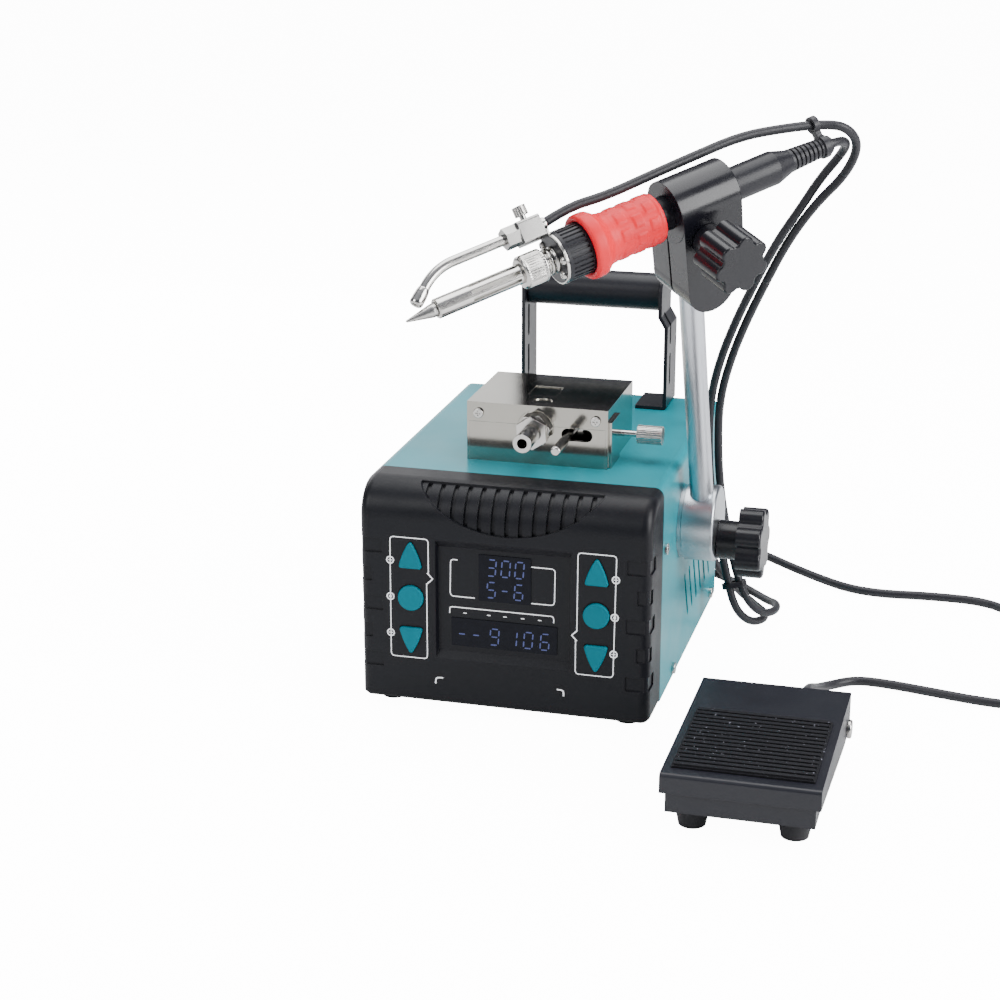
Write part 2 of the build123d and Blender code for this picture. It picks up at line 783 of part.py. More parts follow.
with BuildPart() as drive_roller:
    with BuildSketch(level(roller_z, drive_x, roller_y)):
        Circle(drive_radius)
        with PolarLocations(drive_radius, 24):
            Rectangle(0.8, 0.8, mode=Mode.SUBTRACT)
    extrude(amount=roller_height)
    with BuildSketch(level(motor_top - 11, drive_x, roller_y)):
        Circle(shaft_radius)
    extrude(amount=roller_z - motor_top + 11)
keep("drive_roller", drive_roller)

pin_radius = 2.0
with BuildPart() as pinch_arm:
    with BuildSketch(level(roller_z - 5, 0, 0)):
        with BuildLine():
            Polyline((swing_x - 5, swing_y + 5), (pinch_x - 4, roller_y - 4), (pinch_x + 6, roller_y - 6),
                     (20, 62), (26, 62), (swing_x + 5, swing_y + 5), close=True)
        make_face()
        with Locations((swing_x, swing_y)):
            Circle(2.05, mode=Mode.SUBTRACT)
    extrude(amount=4)
    with BuildSketch(level(roller_z - 1, pinch_x, roller_y)):
        Circle(pin_radius)
    extrude(amount=roller_height)
    with BuildSketch(level(roller_z - 1, 23, 65)):
        Rectangle(6, 6)
    extrude(amount=5)
    with BuildSketch(facing_front(22, 21, slot_z)):
        Circle(pin_radius)
    extrude(amount=-46)
    with BuildSketch(facing_front(22, 21, slot_z)):
        Circle(pin_radius + 0.5)
    extrude(amount=-18)
    fillet(pinch_arm.edges().group_by(Axis.Y)[0], 1)
keep("pinch_arm", pinch_arm)

with BuildPart() as pinch_roller:
    with BuildSketch(level(roller_z, pinch_x, roller_y)):
        Circle(pinch_radius)
        Circle(pin_radius + 0.05, mode=Mode.SUBTRACT)
    extrude(amount=roller_height - 1.5)
keep("pinch_roller", pinch_roller)

with BuildPart() as tension_screw:
    with BuildSketch(facing_right(32, 72.5, 133)):
        Circle(1.6)
    extrude(amount=21)
    with BuildSketch(facing_right(52.5, 72.5, 133)):
        Circle(4.85)
        with PolarLocations(4.85, 28):
            Rectangle(0.5, 0.5, mode=Mode.SUBTRACT)
    extrude(amount=13)
keep("tension_screw", tension_screw)

# ---------------------------------------------------------------- iron stand
boss_plane = facing_right(boss_start, pivot_y, pivot_z)
with BuildPart() as arm_flange:
    with BuildSketch(facing_right(half, pivot_y, pivot_z)):
        Circle(boss_radius - 1)
    extrude(amount=boss_start - half - 0.3)
    with BuildSketch(facing_right(half - 8, pivot_y, stud_z)):
        Circle(stud_radius)
    extrude(amount=boss_end + 12 - half + 8)
keep("arm_flange", arm_flange)

rod_plane = Plane(origin=arm_pivot, x_dir=(1, 0, 0), z_dir=rod_up)
with BuildPart() as arm_boss:
    with BuildSketch(boss_plane):
        Circle(boss_radius)
    extrude(amount=boss_end - boss_start)
    fillet(arm_boss.edges().group_by(Axis.X)[-1], 1.6)
    with BuildSketch(facing_right(boss_start - 1, pivot_y, stud_z)):
        Circle(stud_radius + knob_fit)
    extrude(amount=boss_end - boss_start + 2, mode=Mode.SUBTRACT)
    with BuildSketch(rod_plane.offset(7)):
        Circle(rod_radius)
    extrude(amount=boss_radius, mode=Mode.SUBTRACT)
keep("arm_boss", arm_boss)

rod_end = rod_reach - head_screw_drop - 4.5
with BuildPart() as arm_rod:
    with BuildSketch(rod_plane.offset(7)):
        Circle(rod_radius)
    extrude(amount=rod_end - 7)
    chamfer(arm_rod.edges().group_by(Axis(rod_plane.origin, rod_plane.z_dir))[-1], 0.8)
keep("arm_rod", arm_rod)

with BuildPart() as arm_knob:
    knob_start = facing_right(boss_end + 0.4, pivot_y, stud_z)
    with BuildSketch(knob_start):
        Circle(10.2)
    extrude(amount=11.5)
    extrude(star_sketch(knob_start.offset(11), 18.8, 7), amount=13)
    fillet(arm_knob.edges().group_by(Axis.X)[-1], 1.6)
    with BuildSketch(knob_start):
        Circle(stud_radius + knob_fit)
    extrude(amount=15, mode=Mode.SUBTRACT)
keep("arm_knob", arm_knob)

# ---------------------------------------------------------------- head clamp
clamp_bottom_mid = (clamp_front + clamp_rear) / 2 + 2
with BuildPart() as head_clamp:
    with BuildSketch(iron_profile.offset(-clamp_radius)):
        with BuildLine():
            low_front, low_rear = (clamp_front - 1, -clamp_drop + 15), (clamp_rear + 5, -clamp_drop + 15)
            Polyline(low_rear, (clamp_rear, -16), (clamp_rear, 0), (clamp_front, 0), low_front)
            ThreePointArc(low_front, (clamp_bottom_mid, -clamp_drop), low_rear)
        make_face()
    extrude(amount=2 * clamp_radius)
    with BuildSketch(across_iron(clamp_rear)):
        Circle(clamp_radius)
    extrude(amount=clamp_front - clamp_rear)
    with BuildSketch(across_iron(clamp_rear - 1)):
        Circle(iron_radius + cable_fit / 4)
    extrude(amount=clamp_front - clamp_rear + 2, mode=Mode.SUBTRACT)
    with BuildSketch(Plane(origin=along_iron(0, -clamp_drop - 5), x_dir=iron_side, z_dir=rod_up)):
        Circle(rod_radius + knob_fit)
    extrude(amount=clamp_drop + 5 - head_screw_drop - 4, mode=Mode.SUBTRACT)
    with BuildSketch(across_iron(clamp_rear - 1)):
        with Locations((0, -clamp_drop / 2 - 3)):
            Rectangle(clamp_slit, clamp_drop)
    extrude(amount=clamp_front - clamp_rear + 2, mode=Mode.SUBTRACT)
    with BuildSketch(Plane(origin=along_iron(0, -head_screw_drop, -9), z_dir=iron_side)):
        Circle(head_screw_radius + knob_fit)
    extrude(amount=30, mode=Mode.SUBTRACT)
keep("head_clamp", head_clamp)

with BuildPart() as head_knob:
    knob_foot = Plane(
        origin=along_iron(0, -head_screw_drop, clamp_radius + 0.4), x_dir=iron_ahead, z_dir=iron_side
    )
    with BuildSketch(knob_foot):
        Circle(7.6)
    extrude(amount=11)
    extrude(star_sketch(knob_foot.offset(10.5), 14.6, 7), amount=18.5)
    fillet(head_knob.edges().group_by(Axis(knob_foot.origin, knob_foot.z_dir))[-1], 1)
    with BuildSketch(knob_foot):
        Circle(head_screw_radius)
    extrude(amount=-clamp_radius - 8)
keep("head_knob", head_knob)

# ---------------------------------------------------------------- soldering iron
handle_rear, boot_joint, boot_rear = -49.0, -58.0, -83.0
boot_radius, boot_end_radius = 5.6, 4.3
grip_rear, grip_front = 17.8, 58.0
collar_rear, collar_front, collar_radius = 50.0, 71.0, 12.2
ear_front = 72.3
neck_front, nut_front, nut_radius = 78.2, 90.7, 7.8
barrel_front, barrel_radius, barrel_bore = 134.5, 4.7, 3.4
tip_point = 149.8

iron_handle = turned(iron_profile, [
    (boot_joint, 0), (boot_joint, boot_radius), (handle_rear, iron_radius),
    (collar_rear, iron_radius), (collar_rear, 0),
])
iron_handle.label = "iron_handle"
pieces["iron_handle"] = iron_handle

iron_grip = turned(iron_profile, [
    (grip_rear, iron_radius), (grip_rear, 11.4), (grip_rear + 0.8, 12.1), (46, 12.1), (48.5, 13.2),
    (51, 15.3), (52.5, 15.6), (56.8, 15.6), (grip_front, 14.6), (grip_front, collar_radius),
    (collar_rear, collar_radius), (collar_rear, iron_radius),
])
iron_grip.label = "iron_grip"
pieces["iron_grip"] = iron_grip

with BuildPart() as iron_collar:
    with BuildSketch(across_iron(collar_rear)):
        Circle(collar_radius)
    extrude(amount=collar_front - collar_rear)
    with BuildSketch(across_iron(grip_front + 0.5)):
        with PolarLocations(collar_radius, 30):
            Rectangle(1.2, 1.1, mode=Mode.ADD)
    extrude(amount=collar_front - grip_front - 2.5, mode=Mode.SUBTRACT)
keep("iron_collar", iron_collar)

with BuildPart() as guide_plate:
    with BuildSketch(across_guide(collar_front)):
        Circle(collar_radius)
        with Locations((0, 9)):
            Rectangle(11, 18)
        with Locations((0, guide_offset)):
            Circle(5.5)
            Circle(hose_radius + cable_fit, mode=Mode.SUBTRACT)
    extrude(amount=ear_front - collar_front)
    add(screw_head(across_guide(ear_front), [(-9.4, -3), (9.4, -3)], 2.0, 1.2))
keep("guide_plate", guide_plate)

with BuildPart() as barrel_nut:
    with BuildSketch(across_iron(ear_front)):
        Circle(6.4)
    extrude(amount=neck_front - ear_front)
    with BuildSketch(across_iron(neck_front)):
        Circle(nut_radius)
        with PolarLocations(nut_radius, 36):
            Rectangle(0.6, 0.6, mode=Mode.SUBTRACT)
    extrude(amount=nut_front - neck_front)
keep("barrel_nut", barrel_nut)

with BuildPart() as iron_barrel:
    add(turned(iron_profile, [
        (nut_front, barrel_bore), (nut_front, barrel_radius), (barrel_front - 0.5, barrel_radius),
        (barrel_front, barrel_radius - 0.5), (barrel_front, barrel_bore),
    ]))
    for swing in (0, 45, 90, 135):
        with BuildSketch(across_iron(nut_front + 1.5)):
            Rectangle(2 * barrel_radius + 2, 1.5, rotation=swing)
        extrude(amount=25, mode=Mode.SUBTRACT)
keep("iron_barrel", iron_barrel)

iron_heater = turned(iron_profile, [(nut_front, 0), (nut_front, 2.4), (118, 2.4), (118, 0)])
iron_heater.label = "iron_heater"
pieces["iron_heater"] = iron_heater

iron_tip = turned(iron_profile, [
    (118.4, 0), (118.4, 2.4), (barrel_front + 0.2, 2.4), (barrel_front + 0.2, 3.2),
    (barrel_front + 2, 3.2), (tip_point - 0.6, 0.6), (tip_point, 0),
])
iron_tip.label = "iron_tip"
pieces["iron_tip"] = iron_tip

boot_ribs = 10
rib_step = (boot_joint - boot_rear) / boot_ribs
boot_outline = [(boot_joint, 0), (boot_joint, boot_radius)]
for rib in range(boot_ribs):
    start = boot_joint - rib * rib_step
    radius = boot_radius - (boot_radius - boot_end_radius) * rib / boot_ribs
    boot_outline += [(start - rib_step * 0.6, radius), (start - rib_step * 0.6, radius - 0.9),
                     (start - rib_step, radius - 0.9)]
    if rib < boot_ribs - 1:
        boot_outline.append((start - rib_step, radius - 0.16))
boot_hole = cable_radius + cable_fit
boot_outline += [(boot_rear, boot_hole), (-66, boot_hole), (-66, 0)]
boot_tie_rear, boot_tie_wide, boot_tie_out = -80.0, 3.0, 11.4

with BuildPart() as strain_relief:
    add(turned(iron_profile, boot_outline))
    with BuildSketch(across_guide(boot_tie_rear)):
        Circle(boot_radius)
        with Locations((0, boot_tie_out)):
            Circle(hose_radius + 2.0)
        with Locations((0, boot_tie_out / 2)):
            Rectangle(4, boot_tie_out / 2)
        Circle(boot_end_radius - 0.6, mode=Mode.SUBTRACT)
        with Locations((0, boot_tie_out)):
            Circle(hose_radius + 0.9, mode=Mode.SUBTRACT)
    extrude(amount=boot_tie_wide)
keep("strain_relief", strain_relief)

# ---------------------------------------------------------------- wire guide
block_front, tube_start = 84.0, 73.0
guide_screw_ahead, guide_screw_radius = 78.0, 1.5
with BuildPart() as guide_block:
    with BuildSketch(across_guide(ear_front)):
        with Locations((0, guide_offset - 0.4)):
            RectangleRounded(10, 11, 1.5)
    extrude(amount=block_front - ear_front)
    with BuildSketch(across_guide(block_front)):
        with Locations((0, guide_offset)):
            RegularPolygon(5.3, 6, rotation=12)
    extrude(amount=7)
    with BuildSketch(across_guide(ear_front)):
        with Locations((0, guide_offset)):
            Circle(tube_radius + knob_fit)
    extrude(amount=20, mode=Mode.SUBTRACT)
    with BuildSketch(Plane(origin=by_guide(guide_screw_ahead, guide_offset), z_dir=guide_up)):
        Circle(guide_screw_radius + knob_fit)
    extrude(amount=10, mode=Mode.SUBTRACT)
keep("guide_block", guide_block)

with BuildPart() as guide_screw:
    with BuildSketch(Plane(origin=by_guide(guide_screw_ahead, guide_offset + 2.6), z_dir=guide_up)):
        Circle(guide_screw_radius)
    extrude(amount=5)
    with BuildSketch(Plane(origin=by_guide(guide_screw_ahead, guide_offset + 7.2), z_dir=guide_up)):
        Circle(3.2)
        with PolarLocations(3.2, 18):
            Rectangle(0.5, 0.5, mode=Mode.SUBTRACT)
    extrude(amount=4.4)
keep("guide_screw", guide_screw)

guide_route = [by_guide(tube_start, guide_offset), by_guide(126.7, guide_offset), by_guide(142.3, 5.3)]
with BuildPart() as guide_tube:
    with BuildLine() as guide_line:
        FilletPolyline(*guide_route, radius=28)
    with BuildSketch(Plane(origin=guide_line.line @ 0, z_dir=guide_line.line % 0)):
        Circle(tube_radius)
        Circle(tube_bore, mode=Mode.SUBTRACT)
    sweep()
keep("guide_tube", guide_tube)

# ---------------------------------------------------------------- foot pedal
pedal_right = pedal_left + pedal_width
pedal_middle = pedal_left + pedal_width / 2
pedal_rear = pedal_front + pedal_length
base_inset, base_wall = 2.5, 1.5
base_front, base_rear = pedal_front + 2, pedal_rear - 1.5
pin_size = 2.5
pedal_cord_x, pedal_cord_z = 149.0, 17.3

with BuildPart() as pedal_plate:
    with BuildSketch(facing_right(pedal_left)):
        with BuildLine():
            skirt_low, skirt_front = pedal_underside + 0.5, pedal_top - 9.6
            Polyline((pedal_front, pedal_top), (pedal_rear, pedal_top), (pedal_rear, skirt_low),
                     (pedal_rear - 22, skirt_low), (pedal_front, skirt_front), close=True)
        make_face()
    extrude(amount=pedal_width)
    fillet(pedal_plate.edges().filter_by(Axis.X).group_by(Axis.Z)[-1].sort_by(Axis.Y)[0], 2)
    with BuildSketch(facing_right(pedal_left + plate_sheet)):
        with Locations((pedal_middle, 0)):
            Rectangle(2 * pedal_middle - 2 * (pedal_front + plate_sheet), 2 * (pedal_top - plate_sheet))
    extrude(amount=pedal_width - 2 * plate_sheet, mode=Mode.SUBTRACT)
    with BuildSketch(facing_right(pedal_left - 1)):
        with Locations((pedal_pivot_y, pedal_pivot_z)):
            Circle(pin_size + knob_fit)
    extrude(amount=pedal_width + 2, mode=Mode.SUBTRACT)
keep("pedal_plate", pedal_plate)

with BuildPart() as pedal_base:
    with BuildSketch(facing_right(pedal_left + base_inset)):
        with BuildLine():
            Polyline((base_front, pedal_top - 7.5), (base_rear, pedal_top - 2.5),
                     (base_rear, pedal_underside), (base_front, pedal_underside), close=True)
        make_face()
    extrude(amount=pedal_width - 2 * base_inset)
    with BuildSketch(level(pedal_underside + base_wall)):
        with Locations((pedal_middle, (base_front + base_rear) / 2)):
            inner_depth = base_rear - base_front - 2 * base_wall
            Rectangle(pedal_width - 2 * base_inset - 2 * base_wall, inner_depth)
    extrude(amount=30, mode=Mode.SUBTRACT)
    with BuildSketch(facing_front(base_rear + 1)):
        with Locations((pedal_cord_x, pedal_cord_z)):
            Circle(cord_radius + cable_fit)
    extrude(amount=-0.5)
    with BuildSketch(facing_front(base_rear - 3)):
        with Locations((pedal_cord_x, pedal_cord_z)):
            Circle(cord_radius + cable_fit)
    extrude(amount=-5, mode=Mode.SUBTRACT)
    with BuildSketch(facing_right(pedal_left)):
        with Locations((pedal_pivot_y, pedal_pivot_z)):
            Circle(pin_size)
    extrude(amount=pedal_width, mode=Mode.SUBTRACT)
keep("pedal_base", pedal_base)

with BuildPart() as pedal_pin:
    with BuildSketch(facing_right(pedal_left - 0.9, pedal_pivot_y, pedal_pivot_z)):
        Circle(pin_size)
    extrude(amount=pedal_width + 2)
    with BuildSketch(facing_right(pedal_right + 0.4, pedal_pivot_y, pedal_pivot_z)):
        Circle(4.6)
    extrude(amount=1.9)
    fillet(pedal_pin.edges().group_by(Axis.X)[-1], 0.8)
    with BuildSketch(facing_right(pedal_left - 1.3, pedal_pivot_y, pedal_pivot_z)):
        Circle(4)
    extrude(amount=0.9)
keep("pedal_pin", pedal_pin)

with BuildPart() as pedal_feet:
    with BuildSketch(level(0)):
        with Locations((pedal_middle, (base_front + base_rear) / 2)):
            with GridLocations(47, 82.5, 2, 2):
                Circle(6.4)
    extrude(amount=pedal_underside, taper=-11)
keep("pedal_feet", pedal_feet)

mat_front, mat_rear, mat_ribs = -98.9, -33.0, 16
with BuildPart() as pedal_mat:
    with BuildSketch(level(pedal_top)):
        with Locations((pedal_middle, (mat_front + mat_rear) / 2)):
            Rectangle(65, mat_rear - mat_front)
    extrude(amount=1)
    with BuildSketch(level(pedal_top + 1)):
        with Locations((pedal_middle, (mat_front + mat_rear) / 2)):
            with GridLocations(1, (mat_rear - mat_front) / mat_ribs, 1, mat_ribs):
                Rectangle(63, 2.5)
    extrude(amount=1)
keep("pedal_mat", pedal_mat)

spring_y, spring_radius, spring_wire = -72.4, 5.0, 0.8
spring_foot = pedal_underside + base_wall + spring_wire + 0.1
spring_height = pedal_top - plate_sheet - spring_wire - 0.1 - spring_foot
with BuildPart() as pedal_spring:
    with BuildLine() as spring_line:
        centre = at(pedal_middle, spring_y, spring_foot)
        Helix(spring_height / 4, spring_height, spring_radius, center=centre)
    with BuildSketch(Plane(origin=spring_line.line @ 0, z_dir=spring_line.line % 0)):
        Circle(spring_wire)
    sweep(is_frenet=True)
keep("pedal_spring", pedal_spring)

with BuildPart() as pedal_switch:
    with BuildSketch(level(pedal_underside + base_wall, pedal_middle, -36.4)):
        Rectangle(12, 22)
    extrude(amount=11)
    with BuildSketch(level(pedal_underside + base_wall + 11, pedal_middle, -39.4)):
        Circle(1.8)
    extrude(amount=2.6)
keep("pedal_switch", pedal_switch)

# ---------------------------------------------------------------- cable, hose and cord
cable_places = [
    (151.2, 78.8, 286.2), (148, 88.3, 279.2), (137, 95, 265),
    (127.5, 98.5, 249), (116.4, 102, 231.6), (104.8, 111, 208.4),
    (93.3, 120, 183.4), (84.1, 129, 158.9), (78.8, 136, 135.7),
    (77.7, 141, 110.5), (79.1, 143, 85.4), (83.4, 145, 59),
    (88.4, 146, 36.8), (92.8, 144, 20.5), (97.2, 145, 11),
    (103.5, 150.3, 4.5), (109, 159.6, 3.1), (108.5, 170.6, 3),
    (101.2, 180.8, 3), (88, 202, 3),
    (73, 222, 7), (61, 239, 18), (52, 250, 30),
    (46, 255, 43), (44, 250, 57), (44, 236, 62),
    (44, 201, 62),
]
hose_places = [
    (151.2, 71, 294.9), (157, 80, 285), (150.5, 88, 269),
    (135.4, 96, 252.4), (121.3, 104.2, 231.4), (109.8, 112.7, 207.8),
    (98.1, 122.2, 182.1), (89, 131.2, 157.6), (83.4, 138.2, 134.3),
    (82.6, 143.2, 109.7), (84, 145.7, 84.5), (88.2, 147.7, 59.2),
    (93.3, 148.2, 37.8), (98.3, 146.3, 24.8), (103.5, 147.3, 15.8),
    (109.8, 152.6, 9.3), (115.1, 162, 8), (114.5, 173.5, 7.8),
    (107.7, 184.3, 5.2), (98, 199.5, 3.2), (86, 213, 3),
    (71, 225, 3.4), (53, 236, 5),
    (36, 244, 9), (26, 246, 18), (22, 242, 31),
    (22, 226, 40), (22, 191, 40),
]
hose_on_iron = [
    (ear_front, guide_offset), (56, 19.6), (36, 17.8), (12, 18.6), (-12, 19.2), (-40, 19.6),
    (-62, 15.5), (-82, 10.5),
]
cable_route = [along_iron(-75, 0), along_iron(-87, 0)] + [at(*place) for place in cable_places]
hose_route = [by_guide(*place) for place in hose_on_iron] + [at(*place) for place in hose_places]
pieces["iron_cable"] = cord_tube("iron_cable", cable_route, cable_radius)
pieces["feed_hose"] = cord_tube("feed_hose", hose_route, hose_radius)

tie_play, tie_thick, tie_wide = 0.5, 1.1, 3.0


def tie(plane, apart):
    """A tie round two lines, the second of them up the plane's sketch y by that much."""
    inner = 2 * (hose_radius + tie_play)
    with BuildPart() as loop:
        with BuildSketch(plane):
            with Locations((0, apart / 2)):
                SlotCenterToCenter(apart, inner + 2 * tie_thick, rotation=90)
                SlotCenterToCenter(apart, inner, rotation=90, mode=Mode.SUBTRACT)
            with Locations((inner / 2 + tie_thick + 1.5, apart / 2)):
                Rectangle(3.4, 5)
        extrude(amount=tie_wide)
    return loop.part


tie_low = (at(*cable_places[12]) + at(*cable_places[13])) * 0.5
tie_run = (at(*cable_places[13]) - at(*cable_places[12])).normalized()
hose_before, hose_after = at(*hose_places[12]), at(*hose_places[13])
hose_run = (hose_after - hose_before).normalized()
tie_beside = hose_before + hose_run * ((tie_low - hose_before).dot(tie_run) / hose_run.dot(tie_run))
tie_apart = tie_beside - tie_low
tie_across = tie_apart.cross(tie_run)
tie_plane = Plane(origin=tie_low, x_dir=tie_across, z_dir=tie_run)
cable_tie = tie(tie_plane, tie_apart.length)
cable_tie.label = "cable_tie"
pieces["cable_tie"] = cable_tie

cord_out = [
    (pedal_cord_x, base_rear - 3.5, pedal_cord_z), (149, 19, 17.3), (149.5, 37, 17.5), (151, 59, 8),
    (156, 76, 3), (168, 87, 2.9), (184, 86.5, 2.9), (206, 82, 2.9), (233.5, 76, 2.9), (256, 75, 2.9),
    (272, 77.5, 3.2),
]
cord_back = [
    (272, 131.5, 3.2), (256, 135, 2.9), (249, 150, 2.9), (249.5, 170, 2.9), (250.5, 188, 2.9),
    (245.5, 205, 2.9), (228, 221, 2.9),
    (195, 221.5, 2.9), (169, 218, 2.9), (149, 222, 2.9), (130, 235, 2.9), (112, 247, 4), (95, 248, 10),
    (78, 241, 17), (66, 229, 23), (58, 214, 26), (58, 191, 26),
]
with BuildPart() as pedal_cord:
    for run, places in (("cord to coil", cord_out), ("cord to station", cord_back)):
        add(cord_tube(run, [at(*place) for place in places], cord_radius))
keep("pedal_cord", pedal_cord)

with BuildPart() as pedal_cord_coil:
    with BuildSketch(Plane(at(coil_x, coil_y, 0), (1, 0, 0), (0, -1, 0))):
        with Locations(((coil_inner + coil_outer) / 2, coil_height / 2 + 0.3)):
            RectangleRounded(coil_outer - coil_inner, coil_height, cord_radius)
    revolve(axis=Axis(at(coil_x, coil_y, 0), (0, 0, 1)))
keep("pedal_cord_coil", pedal_cord_coil)


os.makedirs("parts", exist_ok=True)
for name, piece in pieces.items():
    export_step(piece, f"parts/{name}.step")
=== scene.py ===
"""The soldering station's looks: cords, fine pieces, materials, light and camera.

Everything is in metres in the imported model's frame. Most places are given in millimetres
from the station's own point, which is on the bench below the middle of the bezel's face:
x to the right, y to the rear, z up. The iron's pieces are placed along its axis instead.
"""
import bpy
from math import cos, pi, radians, sin, tan
from mathutils import Matrix, Vector


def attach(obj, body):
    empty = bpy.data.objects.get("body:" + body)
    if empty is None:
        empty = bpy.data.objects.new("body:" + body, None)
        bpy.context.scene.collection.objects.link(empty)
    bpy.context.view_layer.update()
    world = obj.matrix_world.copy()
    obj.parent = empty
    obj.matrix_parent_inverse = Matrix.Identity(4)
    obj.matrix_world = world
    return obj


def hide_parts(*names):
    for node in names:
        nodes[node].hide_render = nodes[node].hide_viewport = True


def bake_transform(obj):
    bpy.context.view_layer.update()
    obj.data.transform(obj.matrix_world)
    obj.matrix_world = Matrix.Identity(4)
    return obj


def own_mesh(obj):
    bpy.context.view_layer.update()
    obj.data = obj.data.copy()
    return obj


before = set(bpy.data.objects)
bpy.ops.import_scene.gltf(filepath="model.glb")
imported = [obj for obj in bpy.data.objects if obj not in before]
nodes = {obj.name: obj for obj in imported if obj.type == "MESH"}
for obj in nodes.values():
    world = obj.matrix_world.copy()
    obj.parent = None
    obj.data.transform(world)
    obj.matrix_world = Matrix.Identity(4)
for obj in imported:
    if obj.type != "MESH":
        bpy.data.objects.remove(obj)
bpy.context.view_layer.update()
scene = bpy.context.scene

# ---------------------------------------------------------------- places
STATION = Vector((-49.85, -60.8, 0.0))
MM = 0.001


def at(x, y, z):
    """A point in the frame from millimetres off the station's own point."""
    return (Vector((x, y, z)) + STATION) * MM


# The rod leans back from its pivot, the iron is turned across the rod, and the wire guide
# is clocked round the iron's axis.
lean, turn, clock = radians(22.2), radians(45.3), radians(42.0)
pivot = at(85.6, 84.8, 84.1)
iron_height = 0.1955
rod_up = Vector((0, -sin(lean), cos(lean)))
ahead = Vector((-sin(turn), -cos(turn) * cos(lean), -cos(turn) * sin(lean)))
side = rod_up.cross(ahead)
iron_zero = pivot + rod_up * iron_height
guide_up = rod_up * cos(clock) - side * sin(clock)


def on_iron(t, up=0.0, out=0.0):
    """A point t ahead of the rod's axis along the iron, in millimetres."""
    return iron_zero + (ahead * t + rod_up * up + side * out) * MM


def by_guide(t, out):
    """A point in the wire guide's plane, t along the iron and out from its axis."""
    return iron_zero + (ahead * t + guide_up * out) * MM


# ---------------------------------------------------------------- camera
yaw, pitch, roll = -0.2655, 0.3232, -0.0009
forward = Vector((sin(yaw) * cos(pitch), cos(yaw) * cos(pitch), -sin(pitch)))
flat = Vector((cos(yaw), -sin(yaw), 0))
above = flat.cross(forward)
right = flat * cos(roll) + above * sin(roll)
above = above * cos(roll) - flat * sin(roll)
lens = bpy.data.cameras.new("camera")
lens.lens = 77.93
lens.sensor_width = 36
camera = bpy.data.objects.new("camera", lens)
place = at(263.56, -974.05, 454.18)
camera.matrix_world = Matrix((
    (right.x, above.x, -forward.x, place.x),
    (right.y, above.y, -forward.y, place.y),
    (right.z, above.z, -forward.z, place.z),
    (0, 0, 0, 1),
))
scene.collection.objects.link(camera)
scene.camera = camera


# ---------------------------------------------------------------- mesh helpers
def add_object(name, data, body, material):
    """Links a new object with its finish. It rides on the body, if there is one."""
    obj = bpy.data.objects.new(name, data)
    scene.collection.objects.link(obj)
    data.materials.append(material)
    if body:
        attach(obj, body)
    return obj


def mesh_of(name, verts, faces, smooth=True):
    """A mesh from its points and faces."""
    mesh = bpy.data.meshes.new(name)
    mesh.from_pydata([tuple(v) for v in verts], [], faces)
    mesh.update()
    for face in mesh.polygons:
        face.use_smooth = smooth
    return mesh


def ring_faces(rings, count):
    """The faces between neighbouring rings of count points."""
    faces = []
    for i in range(rings - 1):
        for k in range(count):
            a, b = i * count + k, i * count + (k + 1) % count
            faces.append((a, b, b + count, a + count))
    return faces


def end_faces(rings, count):
    """The faces that close the first and the last ring."""
    return [tuple(reversed(range(count))), tuple(range((rings - 1) * count, rings * count))]


def nurbs_curve(name, points, resolution):
    """A curve of one NURBS spline that has these as its control points."""
    curve = bpy.data.curves.new(name, "CURVE")
    curve.dimensions = "3D"
    spline = curve.splines.new("NURBS")
    spline.points.add(len(points) - 1)
    for knot, point in zip(spline.points, points):
        knot.co = (*point, 1)
    spline.order_u = 3
    spline.use_endpoint_u = True
    spline.resolution_u = resolution
    return curve


def smooth_line(points):
    """Points read along the NURBS line that has these as its control points."""
    curve = nurbs_curve("line", points, 12)
    holder = bpy.data.objects.new("line", curve)
    scene.collection.objects.link(holder)
    bpy.context.view_layer.update()
    mesh = bpy.data.meshes.new_from_object(holder)
    found = [v.co.copy() for v in mesh.vertices]
    bpy.data.objects.remove(holder)
    bpy.data.meshes.remove(mesh)
    bpy.data.curves.remove(curve)
    return found


def rings_along(line, radius, count=20):
    """Rings of points round a line, carried along it without twist."""
    rings = []
    tangent = (line[1] - line[0]).normalized()
    normal = tangent.orthogonal().normalized()
    for i, point in enumerate(line):
        before, after = line[max(i - 1, 0)], line[min(i + 1, len(line) - 1)]
        way = (after - before).normalized()
        normal = tangent.rotation_difference(way) @ normal
        normal = (normal - way * normal.dot(way)).normalized()
        across = way.cross(normal)
        tangent = way
        rings.append([
            point + (normal * cos(2 * pi * k / count) + across * sin(2 * pi * k / count)) * radius
            for k in range(count)
        ])
    return rings


def tube_mesh(name, rings):
    """A tube through rings of points, closed at both ends."""
    count = len(rings[0])
    verts = [v for ring in rings for v in ring]
    return mesh_of(name, verts, ring_faces(len(rings), count) + end_faces(len(rings), count))


def line_length(line):
    """The length of the runs between a line's points."""
    return sum((b - a).length for a, b in zip(line, line[1:]))


# ---------------------------------------------------------------- materials
PAINT_BUMP, METAL_BUMP, RUBBER_BUMP = 0.00008, 0.00005, 0.00006
RUBBER_EDGE = 0.0003


def node_material(name):
    """An empty node material, its principled shader and its object coordinates."""
    material = bpy.data.materials.new(name)
    material.use_nodes = True
    tree = material.node_tree
    shader = tree.nodes["Principled BSDF"]
    coords = tree.nodes.new("ShaderNodeTexCoord")
    return material, tree, shader, coords


